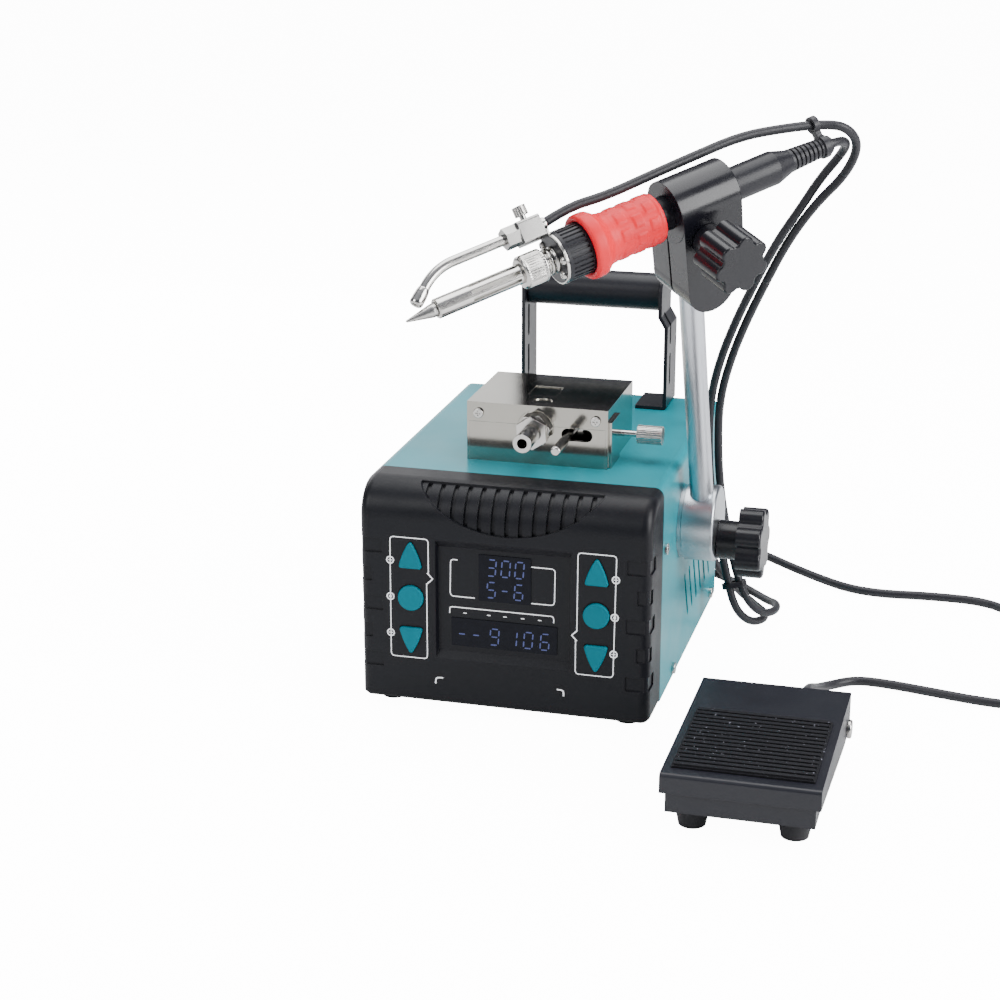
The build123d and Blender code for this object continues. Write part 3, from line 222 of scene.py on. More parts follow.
def noise(tree, coords, scale, detail=4.0, rough=0.55, stretch=None):
    """The value of a noise in the object's own coordinates, stretched if asked."""
    vector = coords.outputs["Object"]
    if stretch:
        mapping = tree.nodes.new("ShaderNodeMapping")
        mapping.inputs["Scale"].default_value = stretch
        tree.links.new(vector, mapping.inputs["Vector"])
        vector = mapping.outputs["Vector"]
    node = tree.nodes.new("ShaderNodeTexNoise")
    node.inputs["Scale"].default_value = scale
    node.inputs["Detail"].default_value = detail
    node.inputs["Roughness"].default_value = rough
    tree.links.new(vector, node.inputs["Vector"])
    return node.outputs["Fac"]


def ramp(tree, source, stops):
    """A colour ramp fed by a value."""
    node = tree.nodes.new("ShaderNodeValToRGB")
    elements = node.color_ramp.elements
    while len(elements) < len(stops):
        elements.new(0.5)
    for element, (where, color) in zip(elements, stops):
        element.position = where
        element.color = (*color, 1)
    tree.links.new(source, node.inputs["Fac"])
    return node.outputs["Color"]


def value_range(tree, source, low, high, from_low=0.3, from_high=0.7):
    """A value scaled into a range."""
    node = tree.nodes.new("ShaderNodeMapRange")
    node.inputs["From Min"].default_value = from_low
    node.inputs["From Max"].default_value = from_high
    node.inputs["To Min"].default_value = low
    node.inputs["To Max"].default_value = high
    tree.links.new(source, node.inputs["Value"])
    return node.outputs["Result"]


def bumped(tree, shader, height, strength, distance, edge):
    """Feeds the shader's normal with a bump, over edges rounded by edge metres."""
    bump = tree.nodes.new("ShaderNodeBump")
    bump.inputs["Strength"].default_value = strength
    bump.inputs["Distance"].default_value = distance
    tree.links.new(height, bump.inputs["Height"])
    if edge:
        bevel = tree.nodes.new("ShaderNodeBevel")
        bevel.samples = 4
        bevel.inputs["Radius"].default_value = edge
        tree.links.new(bevel.outputs["Normal"], bump.inputs["Normal"])
    tree.links.new(bump.outputs["Normal"], shader.inputs["Normal"])


def shade(color, factor):
    """A colour made lighter or darker."""
    return tuple(min(1.0, c * factor) for c in color)


def paint(name, color, rough=0.35, grain=0.25, coat=0.0, edge=0.0004, tint=0.06, scale=900.0,
          gloss=0.3):
    """A sprayed or moulded finish: fine orange peel, faint mottling and patchy gloss."""
    material, tree, shader, coords = node_material(name)
    broad = noise(tree, coords, 35.0, 5.0)
    fine = noise(tree, coords, scale, 3.0)
    stops = [(0.3, shade(color, 1 - tint)), (0.7, shade(color, 1 + tint))]
    tree.links.new(ramp(tree, broad, stops), shader.inputs["Base Color"])
    tree.links.new(value_range(tree, broad, rough - 0.04, rough + 0.05),
                   shader.inputs["Roughness"])
    bumped(tree, shader, fine, grain, PAINT_BUMP, edge)
    shader.inputs["Specular IOR Level"].default_value = gloss
    if coat:
        shader.inputs["Coat Weight"].default_value = coat
        shader.inputs["Coat Roughness"].default_value = 0.12
    return material


def metal(name, color, rough=0.2, brush=(1, 1, 1), strength=0.12, edge=0.0003, scale=400.0,
          tint=0.05, patchy=0.35):
    """Bare metal: a grain stretched by brush, smears in its colour and uneven polish."""
    material, tree, shader, coords = node_material(name)
    shader.inputs["Metallic"].default_value = 1.0
    grain = noise(tree, coords, scale, 4.0, 0.6, brush)
    smear = noise(tree, coords, 60.0, 4.0)
    stops = [(0.25, shade(color, 1 - tint)), (0.75, shade(color, 1 + tint))]
    tree.links.new(ramp(tree, smear, stops), shader.inputs["Base Color"])
    half_smear = tree.nodes.new("ShaderNodeMath")
    half_smear.operation = "MULTIPLY"
    half_smear.inputs[1].default_value = 0.5
    tree.links.new(smear, half_smear.inputs[0])
    mixed = tree.nodes.new("ShaderNodeMath")
    mixed.operation = "MULTIPLY_ADD"
    mixed.inputs[1].default_value = 0.5
    tree.links.new(grain, mixed.inputs[0])
    tree.links.new(half_smear.outputs["Value"], mixed.inputs[2])
    polish = value_range(tree, mixed.outputs["Value"], rough * (1 - patchy), rough * (1 + patchy))
    tree.links.new(polish, shader.inputs["Roughness"])
    bumped(tree, shader, grain, strength, METAL_BUMP, edge)
    return material


def rubber(name, color, rough=0.6, grain=0.35, scale=1500.0, sheen=0.15):
    """Moulded rubber: dull, finely pitted, with pale mottling."""
    material, tree, shader, coords = node_material(name)
    broad = noise(tree, coords, 60.0, 5.0)
    fine = noise(tree, coords, scale, 2.0)
    stops = [(0.3, shade(color, 0.9)), (0.75, shade(color, 1.12))]
    tree.links.new(ramp(tree, broad, stops), shader.inputs["Base Color"])
    tree.links.new(value_range(tree, fine, rough - 0.08, rough + 0.08),
                   shader.inputs["Roughness"])
    bumped(tree, shader, fine, grain, RUBBER_BUMP, RUBBER_EDGE)
    shader.inputs["Specular IOR Level"].default_value = 0.3
    shader.inputs["Sheen Weight"].default_value = sheen
    shader.inputs["Sheen Roughness"].default_value = 0.5
    return material


teal = paint("teal_paint", (0.002, 0.23, 0.28), 0.34, 0.12, 0.1, tint=0.03, gloss=0.4)
bezel_black = paint("bezel_plastic", (0.0035, 0.0038, 0.0062), 0.4, 0.5, scale=2200.0,
                    gloss=0.22)
cable_black = rubber("cable_sheath", (0.01, 0.01, 0.014), 0.42, 0.2)

# ---------------------------------------------------------------- cords
line_radius = 0.00225
cable_places = [
    (151.2, 78.8, 286.2), (148, 88.3, 279.2), (137, 95, 265), (127.5, 98.5, 249),
    (116.4, 102, 231.6), (104.8, 111, 208.4), (93.3, 120, 183.4), (84.1, 129, 158.9),
    (78.8, 136, 135.7), (77.7, 141, 110.5), (79.1, 143, 85.4), (83.4, 145, 59),
    (88.4, 146, 36.8), (92.8, 144, 20.5), (97.2, 145, 11), (103.5, 150.3, 4.5),
    (109, 159.6, 3.1), (108.5, 170.6, 3), (101.2, 180.8, 3), (88, 202, 3),
    (73, 222, 7), (61, 239, 18), (52, 250, 30), (46, 255, 43), (44, 250, 57),
    (44, 236, 62), (44, 201, 62),
]
hose_places = [
    (151.2, 71, 294.9), (157, 80, 285), (150.5, 88, 269), (135.4, 96, 252.4),
    (121.3, 104.2, 231.4), (109.8, 112.7, 207.8), (98.1, 122.2, 182.1), (89, 131.2, 157.6),
    (83.4, 138.2, 134.3), (82.6, 143.2, 109.7), (84, 145.7, 84.5), (88.2, 147.7, 59.2),
    (93.3, 148.2, 37.8), (98.3, 146.3, 24.8), (103.5, 147.3, 15.8), (109.8, 152.6, 9.3),
    (115.1, 162, 8), (114.5, 173.5, 7.8), (107.7, 184.3, 5.2), (98, 199.5, 3.2),
    (86, 213, 3), (71, 225, 3.4), (53, 236, 5), (36, 244, 9), (26, 246, 18),
    (22, 242, 31), (22, 226, 40), (22, 191, 40),
]
hose_on_iron = [
    (70.4, 16.8), (56, 19.6), (36, 17.8), (12, 18.6), (-12, 19.2), (-40, 19.6), (-62, 15.5),
    (-82, 10.5),
]
LINE_BODIES = (("iron", "head"), ("head", "arm"), ("arm", "station"))


def nearest(line, place):
    """The number of the line's point that is nearest to a place."""
    return min(range(len(line)), key=lambda i: (line[i] - place).length)


def split_line(name, line, node, cuts):
    """One line as three tubes that meet exactly: iron to head, head to arm, arm to station."""
    rings = rings_along(line, line_radius)
    marks = [0] + [nearest(line, cut) for cut in cuts] + [len(line) - 1]
    for i, (first, second) in enumerate(LINE_BODIES):
        low, high = marks[i], marks[i + 1]
        mesh = tube_mesh(f"{name}_{i + 1}", rings[low:high + 1])
        piece = add_object(f"{name}_{i + 1}", mesh, None, cable_black)
        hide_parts(node)
        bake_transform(piece)


cable_line = smooth_line([on_iron(-75), on_iron(-87)] + [at(*p) for p in cable_places])
hose_line = smooth_line([by_guide(*p) for p in hose_on_iron] + [at(*p) for p in hose_places])
split_line("iron_cable", cable_line, "iron_cable", [at(148, 88.3, 279.2), at(104.8, 111, 208.4)])
split_line("wire_hose", hose_line, "feed_hose", [at(150.5, 88, 269), at(109.8, 112.7, 207.8)])

cord_out = [
    (149, 1.6, 17.3), (149, 19, 17.3), (149.5, 37, 17.5), (151, 59, 8), (156, 76, 3),
    (168, 87, 2.9), (184, 86.5, 2.9), (206, 82, 2.9), (233.5, 76, 2.9), (256, 75, 2.9),
]
cord_back = [
    (272, 131.5, 3.2), (256, 135, 2.9), (249, 150, 2.9), (249.5, 170, 2.9), (250.5, 188, 2.9),
    (245.5, 205, 2.9), (228, 221, 2.9), (195, 221.5, 2.9), (169, 218, 2.9), (149, 222, 2.9),
    (130, 235, 2.9), (112, 247, 4), (95, 248, 10), (78, 241, 17), (66, 229, 23), (58, 214, 26),
    (58, 191, 26),
]
# The coil's turns lie beside each other in a lower layer, climb to an upper one, and the
# last comes down again to where the cord leaves it.
coil_x, coil_y, coil_low, coil_high = 279, 104, 2.9, 7.9
coil_turns, turn_points = 5.5, 14
lap_radii = (24.8, 30.2, 27.5, 24.8, 30.2, 27.5, 27.5)
climb_from, climb_over = 2.3, 0.5
drop_from, drop_over, drop_by = 5.1, 0.4, 4.6
coil = []
for step in range(1, int(coil_turns * turn_points)):
    round_by = step / turn_points
    angle = -pi / 2 + 2 * pi * round_by
    lap, within = int(round_by), round_by % 1
    swell = lap_radii[lap] + (lap_radii[lap + 1] - lap_radii[lap]) * within ** 2
    climbed = min(1.0, max(0.0, (round_by - climb_from) / climb_over))
    lift = coil_low + (coil_high - coil_low) * climbed
    if round_by > drop_from:
        lift = coil_high - drop_by * (round_by - drop_from) / drop_over
    coil.append((coil_x + swell * cos(angle), coil_y + swell * sin(angle), lift))
cord_points = [at(*p) for p in cord_out + coil + cord_back]
cord_radius = 0.0025
cord_curve = nurbs_curve("foot_cord", cord_points, 10)
cord_curve.bevel_depth = cord_radius
cord_curve.bevel_resolution = 4
cord_curve.use_fill_caps = True
foot_cord = add_object("foot_cord", cord_curve, "station", cable_black)
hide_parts("pedal_cord", "pedal_cord_coil")
line_length(smooth_line(cord_points))

# ---------------------------------------------------------------- finishes
bare_steel = metal("bare_steel", (0.62, 0.61, 0.6), 0.22, (1, 1, 1), 0.1)
polished = metal("polished_steel", (0.4, 0.385, 0.345), 0.11, (1, 0.06, 0.06), 0.04, scale=900.0,
                 patchy=0.2)
turned_alloy = metal("turned_alloy", (0.5, 0.53, 0.56), 0.3, (1, 1, 1), 0.05,
                     scale=1400.0, tint=0.03, patchy=0.12)
rod_steel = metal("rod_steel", (0.62, 0.64, 0.68), 0.33, (1, 1, 1), 0.03, scale=900.0,
                  tint=0.02, patchy=0.1)
nickel = metal("nickel_plate", (0.58, 0.565, 0.54), 0.16, (1, 1, 1), 0.05, scale=700.0,
               patchy=0.15)
worn_nickel = metal("worn_nickel", (0.36, 0.355, 0.345), 0.24, (1, 1, 1), 0.12, scale=700.0)
tip_iron = metal("tip_plating", (0.5, 0.49, 0.47), 0.28, (1, 1, 1), 0.25, scale=900.0, tint=0.2)
black_coat = paint("black_coat", (0.006, 0.006, 0.009), 0.32, 0.3, 0.1)
clamp_gloss = paint("clamp_gloss", (0.005, 0.005, 0.008), 0.26, 0.15, 0.1, scale=500.0, gloss=0.35)
knob_plastic = paint("knob_plastic", (0.006, 0.006, 0.009), 0.3, 0.25, 0.1, scale=1500.0)
handle_plastic = paint("handle_plastic", (0.008, 0.008, 0.012), 0.36, 0.35, 0.0, scale=2000.0)
pedal_coat = paint("pedal_coat", (0.0075, 0.008, 0.013), 0.38, 0.45, 0.05, scale=1300.0, gloss=0.4)
button_teal = paint("button_plastic", (0.0005, 0.155, 0.205), 0.42, 0.3, 0.0, scale=2500.0,
                    gloss=0.08)
black_rubber = rubber("black_rubber", (0.009, 0.009, 0.012), 0.62)
boot_rubber = rubber("boot_rubber", (0.009, 0.009, 0.013), 0.4, 0.25)
red_rubber = rubber("red_rubber", (0.74, 0.005, 0.016), 0.46, 0.25, 2200.0, 0.02)
board_green = paint("board_green", (0.01, 0.09, 0.04), 0.4, 0.2, 0.2)
core_steel = metal("core_steel", (0.3, 0.29, 0.28), 0.4, (1, 1, 8), 0.3, scale=500.0)
ceramic = paint("ceramic", (0.7, 0.68, 0.64), 0.5, 0.3)
# The white print glows faintly: painted light that makes it read brighter than the lamps alone would
# light it.
glowing_ink = paint("white_ink_painted_glow", (0.95, 0.96, 0.97), 0.5, 0.2, edge=0.0, tint=0.03)
ink_shader = glowing_ink.node_tree.nodes["Principled BSDF"]
ink_shader.inputs["Emission Color"].default_value = (1, 1, 1, 1)
ink_shader.inputs["Emission Strength"].default_value = 0.25


def speckled_mat():
    """The pedal mat's rubber, with small pale specks."""
    material, tree, shader, coords = node_material("mat_rubber")
    dust = noise(tree, coords, 620.0, 1.0)
    stops = [(0.3, (0.004, 0.004, 0.006)), (0.72, (0.007, 0.007, 0.01)), (0.75, (0.2, 0.2, 0.24))]
    tree.links.new(ramp(tree, dust, stops), shader.inputs["Base Color"])
    tree.links.new(value_range(tree, dust, 0.5, 0.66), shader.inputs["Roughness"])
    shader.inputs["Specular IOR Level"].default_value = 0.25
    pits = noise(tree, coords, 1800.0, 2.0)
    bumped(tree, shader, pits, 0.5, RUBBER_BUMP, RUBBER_EDGE)
    return material


def smoked_window():
    """The dark glossy plastic of the display windows."""
    material, tree, shader, coords = node_material("smoke_window")
    haze = noise(tree, coords, 300.0)
    stops = [(0.3, (0.002, 0.0025, 0.006)), (0.7, (0.004, 0.005, 0.009))]
    tree.links.new(ramp(tree, haze, stops), shader.inputs["Base Color"])
    tree.links.new(value_range(tree, haze, 0.08, 0.13), shader.inputs["Roughness"])
    shader.inputs["Specular IOR Level"].default_value = 0.12
    return material


def digit_glow():
    """The faintly lit segments of the display."""
    material, tree, shader, coords = node_material("digit_glow")
    speck = noise(tree, coords, 3000.0, 2.0)
    unlit = [(0.3, (0.03, 0.035, 0.1)), (0.7, (0.05, 0.06, 0.16))]
    lit = [(0.3, (0.1, 0.16, 0.75)), (0.7, (0.2, 0.3, 1.0))]
    tree.links.new(ramp(tree, speck, unlit), shader.inputs["Base Color"])
    tree.links.new(ramp(tree, speck, lit), shader.inputs["Emission Color"])
    shader.inputs["Emission Strength"].default_value = 0.13
    return material


finish = {
    "base_chassis": black_coat, "case_cover": teal, "rear_panel": black_coat,
    "front_bezel": bezel_black, "case_screws": nickel, "rubber_feet": black_rubber,
    "display_board": board_green, "main_board": board_green, "transformer": core_steel,
    "mains_inlet": bezel_black, "power_rocker": knob_plastic, "handset_socket": knob_plastic,
    "cord_glands": knob_plastic, "handle_frame": black_coat, "handle_grip": handle_plastic,
    "feeder_box": polished, "feeder_cover": polished, "wire_port": nickel, "feed_motor": bare_steel,
    "drive_roller": bare_steel, "pinch_arm": nickel, "pinch_roller": bare_steel,
    "tension_screw": nickel, "arm_flange": turned_alloy, "arm_boss": turned_alloy,
    "arm_rod": rod_steel, "arm_knob": knob_plastic, "head_clamp": clamp_gloss,
    "head_knob": knob_plastic, "iron_handle": handle_plastic, "iron_grip": red_rubber,
    "iron_collar": handle_plastic, "guide_plate": nickel, "barrel_nut": nickel,
    "iron_barrel": nickel, "iron_heater": ceramic, "iron_tip": tip_iron,
    "strain_relief": boot_rubber, "guide_block": worn_nickel, "guide_tube": nickel,
    "guide_screw": nickel, "cable_tie": knob_plastic, "pedal_base": pedal_coat,
    "pedal_plate": pedal_coat, "pedal_mat": speckled_mat(), "pedal_feet": black_rubber,
    "pedal_pin": nickel, "pedal_spring": bare_steel, "pedal_switch": knob_plastic,
    "display_lenses": smoked_window(),
}
for kind in ("up", "round", "down"):
    for hand in ("left", "right"):
        finish[f"{kind}_button_{hand}"] = button_teal

for name, material in finish.items():
    for entry in nodes[name].material_slots:
        entry.material = material

# ---------------------------------------------------------------- printed lines on the bezel
# The ink stands this far off its face, and the round signs and their uprights a little more.
ink_gap, sign_gap, upright_gap = 0.06, 0.03, 0.035
# The panel between the buttons lies this deep behind the bezel's face.
inner_depth = 3.0
line_width, mark_width, stroke_width = 0.55, 0.75, 0.5
ring_outer, ring_inner, sign_arm, dot_radius, dash_arm = 2.1, 1.45, 1.05, 0.8, 0.9
corner_steps, corner_share, nearly_straight, steepest = 6, 0.45, 1.5, 0.2


def rounded(points, radius):
    """An open path of (x, z) points with its corners rounded."""
    path = [Vector(points[0])]
    for before, corner, after in zip(points, points[1:], points[2:]):
        here = Vector(corner)
        run_in, run_out = Vector(before) - here, Vector(after) - here
        half_angle = run_in.angle(run_out) / 2
        cut = radius / max(steepest, tan(half_angle)) if half_angle < nearly_straight else 0
        reach = min(cut, run_in.length * corner_share, run_out.length * corner_share)
        start, end = here + run_in.normalized() * reach, here + run_out.normalized() * reach
        for k in range(corner_steps + 1):
            u = k / corner_steps
            path.append(start * (1 - u) ** 2 + here * 2 * u * (1 - u) + end * u * u)
    path.append(Vector(points[-1]))
    return path


def ribbon(verts, faces, path, width, y, closed=False):
    """Adds a flat printed line of even width along an (x, z) path at a depth."""
    count = len(path)
    first = len(verts)
    for i, here in enumerate(path):
        before = path[i - 1] if closed or i > 0 else here
        after = path[(i + 1) % count] if closed or i < count - 1 else here
        way = after - before
        if way.length < 1e-6:
            way = Vector((1, 0))
        way.normalize()
        off = Vector((-way.y, way.x)) * width / 2
        for point in (here + off, here - off):
            verts.append(at(point.x, y, point.y))
    for i in range(count if closed else count - 1):
        a, b = first + 2 * i, first + 2 * ((i + 1) % count)
        faces.append((a, a + 1, b + 1, b))


def stroke(verts, faces, points, width, y):
    """Adds a printed line straight from point to point."""
    ribbon(verts, faces, [Vector(p) for p in points], width, y)


def disc(verts, faces, x, z, outer, inner, y, count=28):
    """Adds a flat ring or, with no inner radius, a disc."""
    turns = [2 * pi * k / count for k in range(count)]
    ring = [Vector((x + cos(angle), z + sin(angle))) for angle in turns]
    middle = Vector((x, z))
    mean = (outer + inner) / 2
    path = [middle + (p - middle) * mean for p in ring]
    ribbon(verts, faces, path, outer - inner, y, True)


verts, faces = [], []
y = -ink_gap
for points in (
    [(-38.6, 73.7), (-38.6, 92), (-58.6, 92), (-58.9, 27.5), (-39.6, 27.5), (-39.6, 68.5)],
    [(37.6, 45.9), (37.6, 27.8), (56.9, 27.8), (57.8, 92.2), (38.4, 92.2), (38.2, 50.9)],
):
    ribbon(verts, faces, rounded(points, 2.0), line_width, y)
for points in (
    [(-39.3, 74.1), (-36.4, 71.2), (-39.3, 68.3)],
    [(38.3, 51.1), (35.6, 48.3), (38.3, 45.5)],
):
    stroke(verts, faces, points, mark_width, y)
for points in (
    [(-35.4, 14.4), (-35.2, 17.7), (-31.4, 17.9)],
    [(28.2, 18.2), (31.6, 18.1), (31.7, 14.9)],
):
    ribbon(verts, faces, rounded(points, 1.8), mark_width, y)
for x, z, sign in (
    (-58.7, 79.4, "+"), (-58.8, 59.8, "o"), (-58.9, 40.1, "-"),
    (57.6, 79.7, "+"), (57.3, 59.9, "o"), (57.0, 40.3, "-"),
):
    disc(verts, faces, x, z, ring_outer, ring_inner, y - sign_gap)
    if sign in "+-":
        level = [(x - sign_arm, z), (x + sign_arm, z)]
        stroke(verts, faces, level, stroke_width, y - sign_gap)
    if sign == "+":
        upright = [(x, z - sign_arm), (x, z + sign_arm)]
        stroke(verts, faces, upright, stroke_width, y - upright_gap)
    if sign == "o":
        disc(verts, faces, x, z, dot_radius, 0.0, y - sign_gap)
inner_y = inner_depth - ink_gap
for points in (
    [(-24.2, 81.5), (-27.8, 81.5), (-28.2, 61.9), (-15.2, 61.9)],
    [(14.0, 81.3), (26.2, 81.3), (25.9, 62.0), (13.6, 62.0)],
    [(-28.5, 52.6), (-28.5, 56.1), (25.6, 56.1), (25.6, 52.6)],
):
    ribbon(verts, faces, rounded(points, 2.2), line_width, inner_y)
for x in (-20.4, -8.0, 0.4, 9.6, 18.4):
    stroke(verts, faces, [(x - dash_arm, 53.3), (x + dash_arm, 53.3)], stroke_width, inner_y)
add_object("panel_print", mesh_of("panel_print", verts, faces, False), "station",
           glowing_ink)

# ---------------------------------------------------------------- display digits
SEGMENTS = {
    "0": "abcdef", "1": "bc", "2": "abged", "3": "abgcd", "4": "fgbc", "5": "afgcd",
    "6": "afgedc", "7": "abc", "8": "abcdefg", "9": "abcdfg", "-": "g",
}
bar_gap, bar_half_width, digit_slant = 0.55, 0.36, 0.08


def segment_digits(verts, faces, text, xs, z, width, height, y):
    """Adds seven-segment characters as flat bars with pointed ends."""
    w, h = width / 2, height / 2
    bars = {
        "a": ((-w, h), (w, h)), "b": ((w, h), (w, 0)), "c": ((w, 0), (w, -h)),
        "d": ((-w, -h), (w, -h)), "e": ((-w, 0), (-w, -h)), "f": ((-w, h), (-w, 0)),
        "g": ((-w, 0), (w, 0)),
    }
    for char, x in zip(text, xs):
        for key in SEGMENTS[char]:
            a, b = (Vector(p) for p in bars[key])
            way = (b - a).normalized()
            a, b = a + way * bar_gap, b - way * bar_gap
            off, tip = Vector((-way.y, way.x)) * bar_half_width, way * bar_half_width
            first = len(verts)
            for p in (a, a + tip + off, b - tip + off, b, b - tip - off, a + tip - off):
                verts.append(at(x + p.x + digit_slant * p.y, y, z + p.y))
            faces.append(tuple(range(first, first + 6)))


verts, faces = [], []
# The windows' faces lie this deep, and the segments stand just in front of them.
lens_depth, digit_gap = 2.6, 0.04
for text, xs, z, width, height in (
    ("300", (-6.4, 0.9, 8.0), 79.0, 4.3, 8.6),
    ("5-6", (-6.6, 0.4, 7.6), 67.2, 4.3, 8.2),
    ("--9106", (-22.0, -14.6, -5.0, 4.4, 12.6, 21.2), 42.0, 4.4, 8.6),
):
    segment_digits(verts, faces, text, xs, z, width, height, lens_depth - digit_gap)
add_object("display_digits", mesh_of("display_digits", verts, faces, False), "station",
           digit_glow())

# ---------------------------------------------------------------- red grip
grip_points = [
    (17.8, 8.3), (17.8, 10.9), (18.3, 11.7), (19.2, 12.1), (20.6, 12.2), (22, 12.1), (26, 12.1),
    (30, 12.1), (34, 12.1), (38, 12.1), (42, 12.1), (45, 12.15), (47, 12.5), (48.6, 13.3),
    (50, 14.4), (51.2, 15.2), (52.4, 15.55), (54, 15.6), (55.6, 15.6), (56.9, 15.45), (57.6, 15.0),
    (58, 14.3), (57.9, 13.4), (57.2, 12.4), (55, 12.25),
]


def dense_profile(points, step):
    """Profile points spaced about a step apart, or less where the outline turns."""
    out = [Vector(points[0])]
    for a, b in zip(points, points[1:]):
        a, b = Vector(a), Vector(b)
        parts = max(1, int((b - a).length / step + 0.999))  # rounded up
        out += [a + (b - a) * (k + 1) / parts for k in range(parts)]
    return out


def soft_step(value, edge):
    """0 below -edge, 1 above edge, smooth between."""
    u = min(1.0, max(0.0, 0.5 + value / (2 * edge)))
    return u * u * (3 - 2 * u)


def revolved(name, profile, spot, count, tooth=None):
    """A mesh turned from (along, radius) points; spot gives a place, tooth a radius change."""
    verts = []
    for along, radius in profile:
        for k in range(count):
            angle = 2 * pi * k / count
            grown = radius + (tooth(along, angle) if tooth else 0.0)
            verts.append(spot(along, grown * cos(angle), grown * sin(angle)))
    return mesh_of(name, verts, ring_faces(len(profile), count))


block_rows = ((21.5, 26.3), (29.2, 34.0), (36.9, 41.7))
blocks_round, block_height, block_sink = 8, 0.4, 0.2
blocks_from, blocks_to = 20.6, 44
row_fade, block_fade, block_gap = 0.3, 0.03, 0.2


def grip_blocks(t, angle):
    """How far the grip's raised blocks and their ground lie off its profile."""
    if not blocks_from < t < blocks_to:
        return 0
    raised = 0.0
    for row, (low, high) in enumerate(block_rows):
        along = soft_step(t - low, row_fade) * soft_step(high - t, row_fade)
        phase = (angle / (2 * pi) * blocks_round + 0.5 * (row % 2)) % 1.0
        across = soft_step(phase - block_gap, block_fade) * soft_step(1 - block_gap - phase, block_fade)
        raised = max(raised, along * across)
    return block_height * raised - block_sink


grip_mesh = revolved("red_grip", dense_profile(grip_points, 0.5), on_iron, 160, grip_blocks)
grip = add_object("red_grip", grip_mesh, "iron", red_rubber)
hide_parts("iron_grip")

# ---------------------------------------------------------------- nut, plate, ferrule and nozzle
def turned_piece(name, body, points, spacing, spot, count, tooth=None):
    """A bright piece turned from its profile's points."""
    mesh = revolved(name, dense_profile(points, spacing), spot, count, tooth)
    return add_object(name, mesh, body, nickel)


knurl_from, knurl_to, knurl_fade = 80.0, 89.2, 0.5
knurl_teeth, knurl_depth = 40, 0.32


def nut_knurling(along, angle):
    """Straight knurling on the nut's middle."""
    within = soft_step(along - knurl_from, knurl_fade) * soft_step(knurl_to - along, knurl_fade)
    return knurl_depth * within * (abs(((angle * knurl_teeth / (2 * pi)) % 1.0) - 0.5) * 2 - 1)


nut_points = [
    (72.3, 3.5), (72.3, 6.3), (73.6, 6.3), (73.9, 5.7), (75.2, 5.7), (75.5, 6.35), (76.6, 6.35),
    (77.0, 5.2), (78.2, 5.2), (78.3, 6.6), (79.3, 7.75), (84.0, 7.8), (89.6, 7.75), (90.5, 6.8),
    (90.7, 6.3), (90.7, 4.7),
]
nut = turned_piece("barrel_nut_knurled", "iron", nut_points, 0.6, on_iron, 320, nut_knurling)
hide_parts("barrel_nut")

plate_radius, ear_reach, ear_half_width = 12.2, 13.6, 5.5


def plate_reach(angle):
    """How far the guide plate's rim is from the iron's axis, with its ear towards the guide."""
    dx, dy = sin(angle), cos(angle)
    if dy > 0 and abs(dx) * ear_reach < ear_half_width * dy:
        return max(plate_radius, ear_reach / dy)
    return plate_radius


def on_plate(t, up, out):
    """A point beside the iron's axis with up towards the wire guide."""
    guide_side = guide_up.cross(ahead)
    return iron_zero + (ahead * t + guide_up * up + guide_side * out) * MM


def plate_mesh(name, levels, count=200):
    """The plate between (t, shrink) levels, closed at its first and last."""
    verts = []
    for t, shrink in levels:
        for k in range(count):
            angle = 2 * pi * k / count
            reach = plate_reach(angle) - shrink
            verts.append(on_plate(t, reach * cos(angle), reach * sin(angle)))
    faces = ring_faces(len(levels), count) + end_faces(len(levels), count)
    return mesh_of(name, verts, faces, False)


for name, levels, material in (
    ("guide_plate_rim", [(71.0, 0.1), (71.2, 0), (72.1, 0), (72.3, 0.3)], nickel),
    ("guide_plate_face", [(72.25, 0.9), (72.5, 0.95)], black_coat),
):
    piece = add_object(name, plate_mesh(name, levels), "iron", material)
    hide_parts("guide_plate")


def screw_spot(up, out):
    """A function that gives points round a plate screw's own axis."""
    return lambda t, a, b: on_plate(t, up + a, out + b)


screw_points = [
    (72.5, 2.1), (73.0, 2.05), (73.5, 1.7), (73.8, 1.1), (73.75, 0.8), (73.2, 0.7), (73.2, 0.01),
]
for number, (up, out) in enumerate(((-3.0, -9.2), (-3.0, 9.2), (8.2, -5.6), (-8.6, 3.2))):
    screw = turned_piece(f"plate_screw_{number}", "iron", screw_points, 0.3, screw_spot(up, out), 28)
    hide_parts("guide_plate")

guide_height = 16.8


def on_ferrule(along, up, out):
    """A point round the hose's end behind the guide block."""
    return on_plate(along, guide_height + up, out)


ferrule_points = [
    (69.6, 2.5), (69.4, 2.9), (69.8, 3.1), (72.0, 3.1), (72.3, 2.9), (72.3, 2.5), (69.6, 2.5),
]
turned_piece("hose_ferrule", "iron", ferrule_points, 0.4, on_ferrule, 36)

nozzle_end = by_guide(142.3, 5.3)
nozzle_way = (nozzle_end - by_guide(126.7, guide_height)).normalized()
nozzle_side = nozzle_way.orthogonal().normalized()
nozzle_over = nozzle_way.cross(nozzle_side)


def on_nozzle(along, a, b):
    """A point round the guide tube's end, along it from the opening."""
    return nozzle_end + (nozzle_way * along + nozzle_side * a + nozzle_over * b) * MM


nozzle_points = [
    (-8.5, 2.44), (-8.2, 2.7), (-6.5, 3.0), (-4.0, 3.15), (-1.2, 3.15), (-0.2, 2.9), (0.25, 2.4),
    (0.2, 1.5), (-0.4, 1.3), (-4.0, 1.3),
]
turned_piece("guide_nozzle", "wire_guide", nozzle_points, 0.4, on_nozzle, 40)

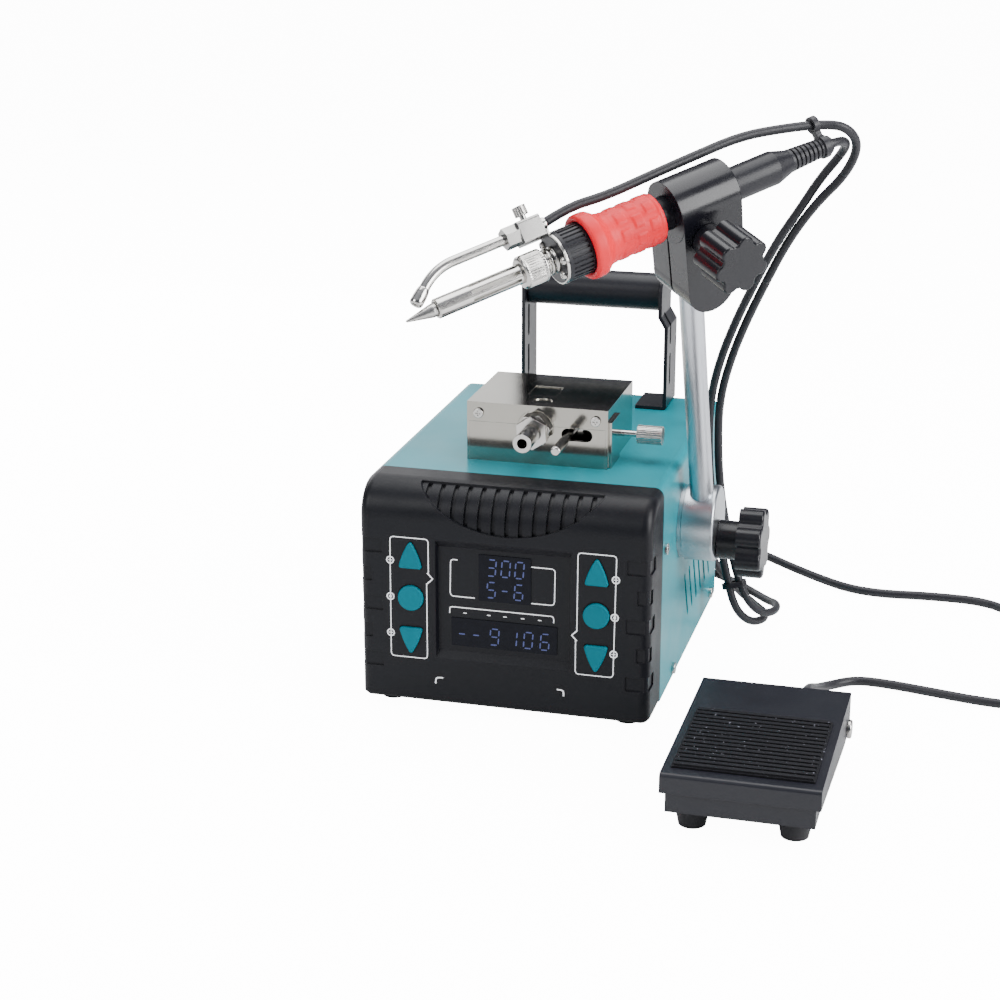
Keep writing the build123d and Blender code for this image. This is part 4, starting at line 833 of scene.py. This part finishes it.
# ---------------------------------------------------------------- pedal spring
spring_turns, spring_points = 4, 12
spring_x, spring_y, spring_seat = 137.7, -72.4, 12.4
spring_foot, spring_height, spring_radius, wire_radius = 13.2, 14.7, 5.1, 0.0008
spring_places = []
for step in range(spring_turns * spring_points + 1):
    angle = 2 * pi * step / spring_points
    climbed = spring_height * step / (spring_turns * spring_points)
    spring_places.append(at(spring_x + spring_radius * cos(angle),
                            spring_y + spring_radius * sin(angle), spring_foot + climbed))
spring_rings = rings_along(smooth_line(spring_places), wire_radius, 12)
spring_mesh = tube_mesh("pedal_spring_coil", spring_rings)
spring = add_object("pedal_spring_coil", spring_mesh, "station", bare_steel)
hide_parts("pedal_spring")
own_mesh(spring)

# ---------------------------------------------------------------- stage and light
floor_half, floor_drop, floor_glow = 6, 0.0002, 13.0


def pale_floor():
    """A pale floor that looks white to the camera and throws no light of its own."""
    material, tree, shader, coords = node_material("pale_floor")
    mottle = noise(tree, coords, 3.0)
    stops = [(0.3, (0.84, 0.84, 0.845)), (0.7, (0.86, 0.86, 0.86))]
    tree.links.new(ramp(tree, mottle, stops), shader.inputs["Base Color"])
    shader.inputs["Roughness"].default_value = 0.55
    seen = tree.nodes.new("ShaderNodeLightPath")
    shader.inputs["Emission Color"].default_value = (1, 1, 1, 1)
    glow = value_range(tree, seen.outputs["Is Camera Ray"], 0.0, floor_glow, 0.0, 1.0)
    tree.links.new(glow, shader.inputs["Emission Strength"])
    return material


corner_signs = ((-1, -1), (1, -1), (1, 1), (-1, 1))
floor_corners = [(x * floor_half, y * floor_half, 0) for x, y in corner_signs]
floor_mesh = mesh_of("floor", floor_corners, [(0, 1, 2, 3)])
floor_mesh.materials.append(pale_floor())
floor = bpy.data.objects.new("floor", floor_mesh)
floor.location.z = -floor_drop
scene.collection.objects.link(floor)

world = bpy.data.worlds.new("studio")
world.use_nodes = True
scene.world = world
tree = world.node_tree
back = tree.nodes["Background"]
coords = tree.nodes.new("ShaderNodeTexCoord")
split = tree.nodes.new("ShaderNodeSeparateXYZ")
tree.links.new(coords.outputs["Generated"], split.inputs["Vector"])
height = value_range(tree, split.outputs["Z"], 0.0, 1.0, -1.0, 1.0)
sky = ramp(tree, height, [(0.45, (0.8, 0.8, 0.82)), (0.52, (0.75, 0.76, 0.8)),
                          (0.6, (0.2, 0.21, 0.24)), (0.75, (0.16, 0.17, 0.2)),
                          (0.95, (0.8, 0.83, 0.9))])
tree.links.new(sky, back.inputs["Color"])
back.inputs["Strength"].default_value = 0.7


def softbox(name, where, target, size, power, size_y=None):
    """A rectangular area light aimed at a point."""
    light = bpy.data.lights.new(name, "AREA")
    light.energy = power
    light.shape = "RECTANGLE"
    light.size = size
    light.size_y = size_y or size
    lamp = bpy.data.objects.new(name, light)
    lamp.location = where
    lamp.rotation_euler = (Vector(target) - Vector(where)).to_track_quat("-Z", "Y").to_euler()
    scene.collection.objects.link(lamp)
    return lamp


softbox("key_right", (1.3, -0.3, 0.75), (0, 0, 0.12), 0.8, 34, 1.0)
softbox("top", (0.0, 0.3, 1.5), (0, 0, 0), 1.3, 26)
softbox("front_left", (-1.0, -1.4, 1.1), (0, 0, 0.1), 0.8, 18)
softbox("rear_left", (-1.1, 0.9, 0.8), (0, 0, 0.1), 0.8, 8)

# The left part of the feeder's polished top mirrors this light.
card = softbox("rear_card", (-0.58, 0.84, 0.45), (-0.58, -1.0, 0.45), 0.6, 2.4, 0.8)
card.visible_camera = False
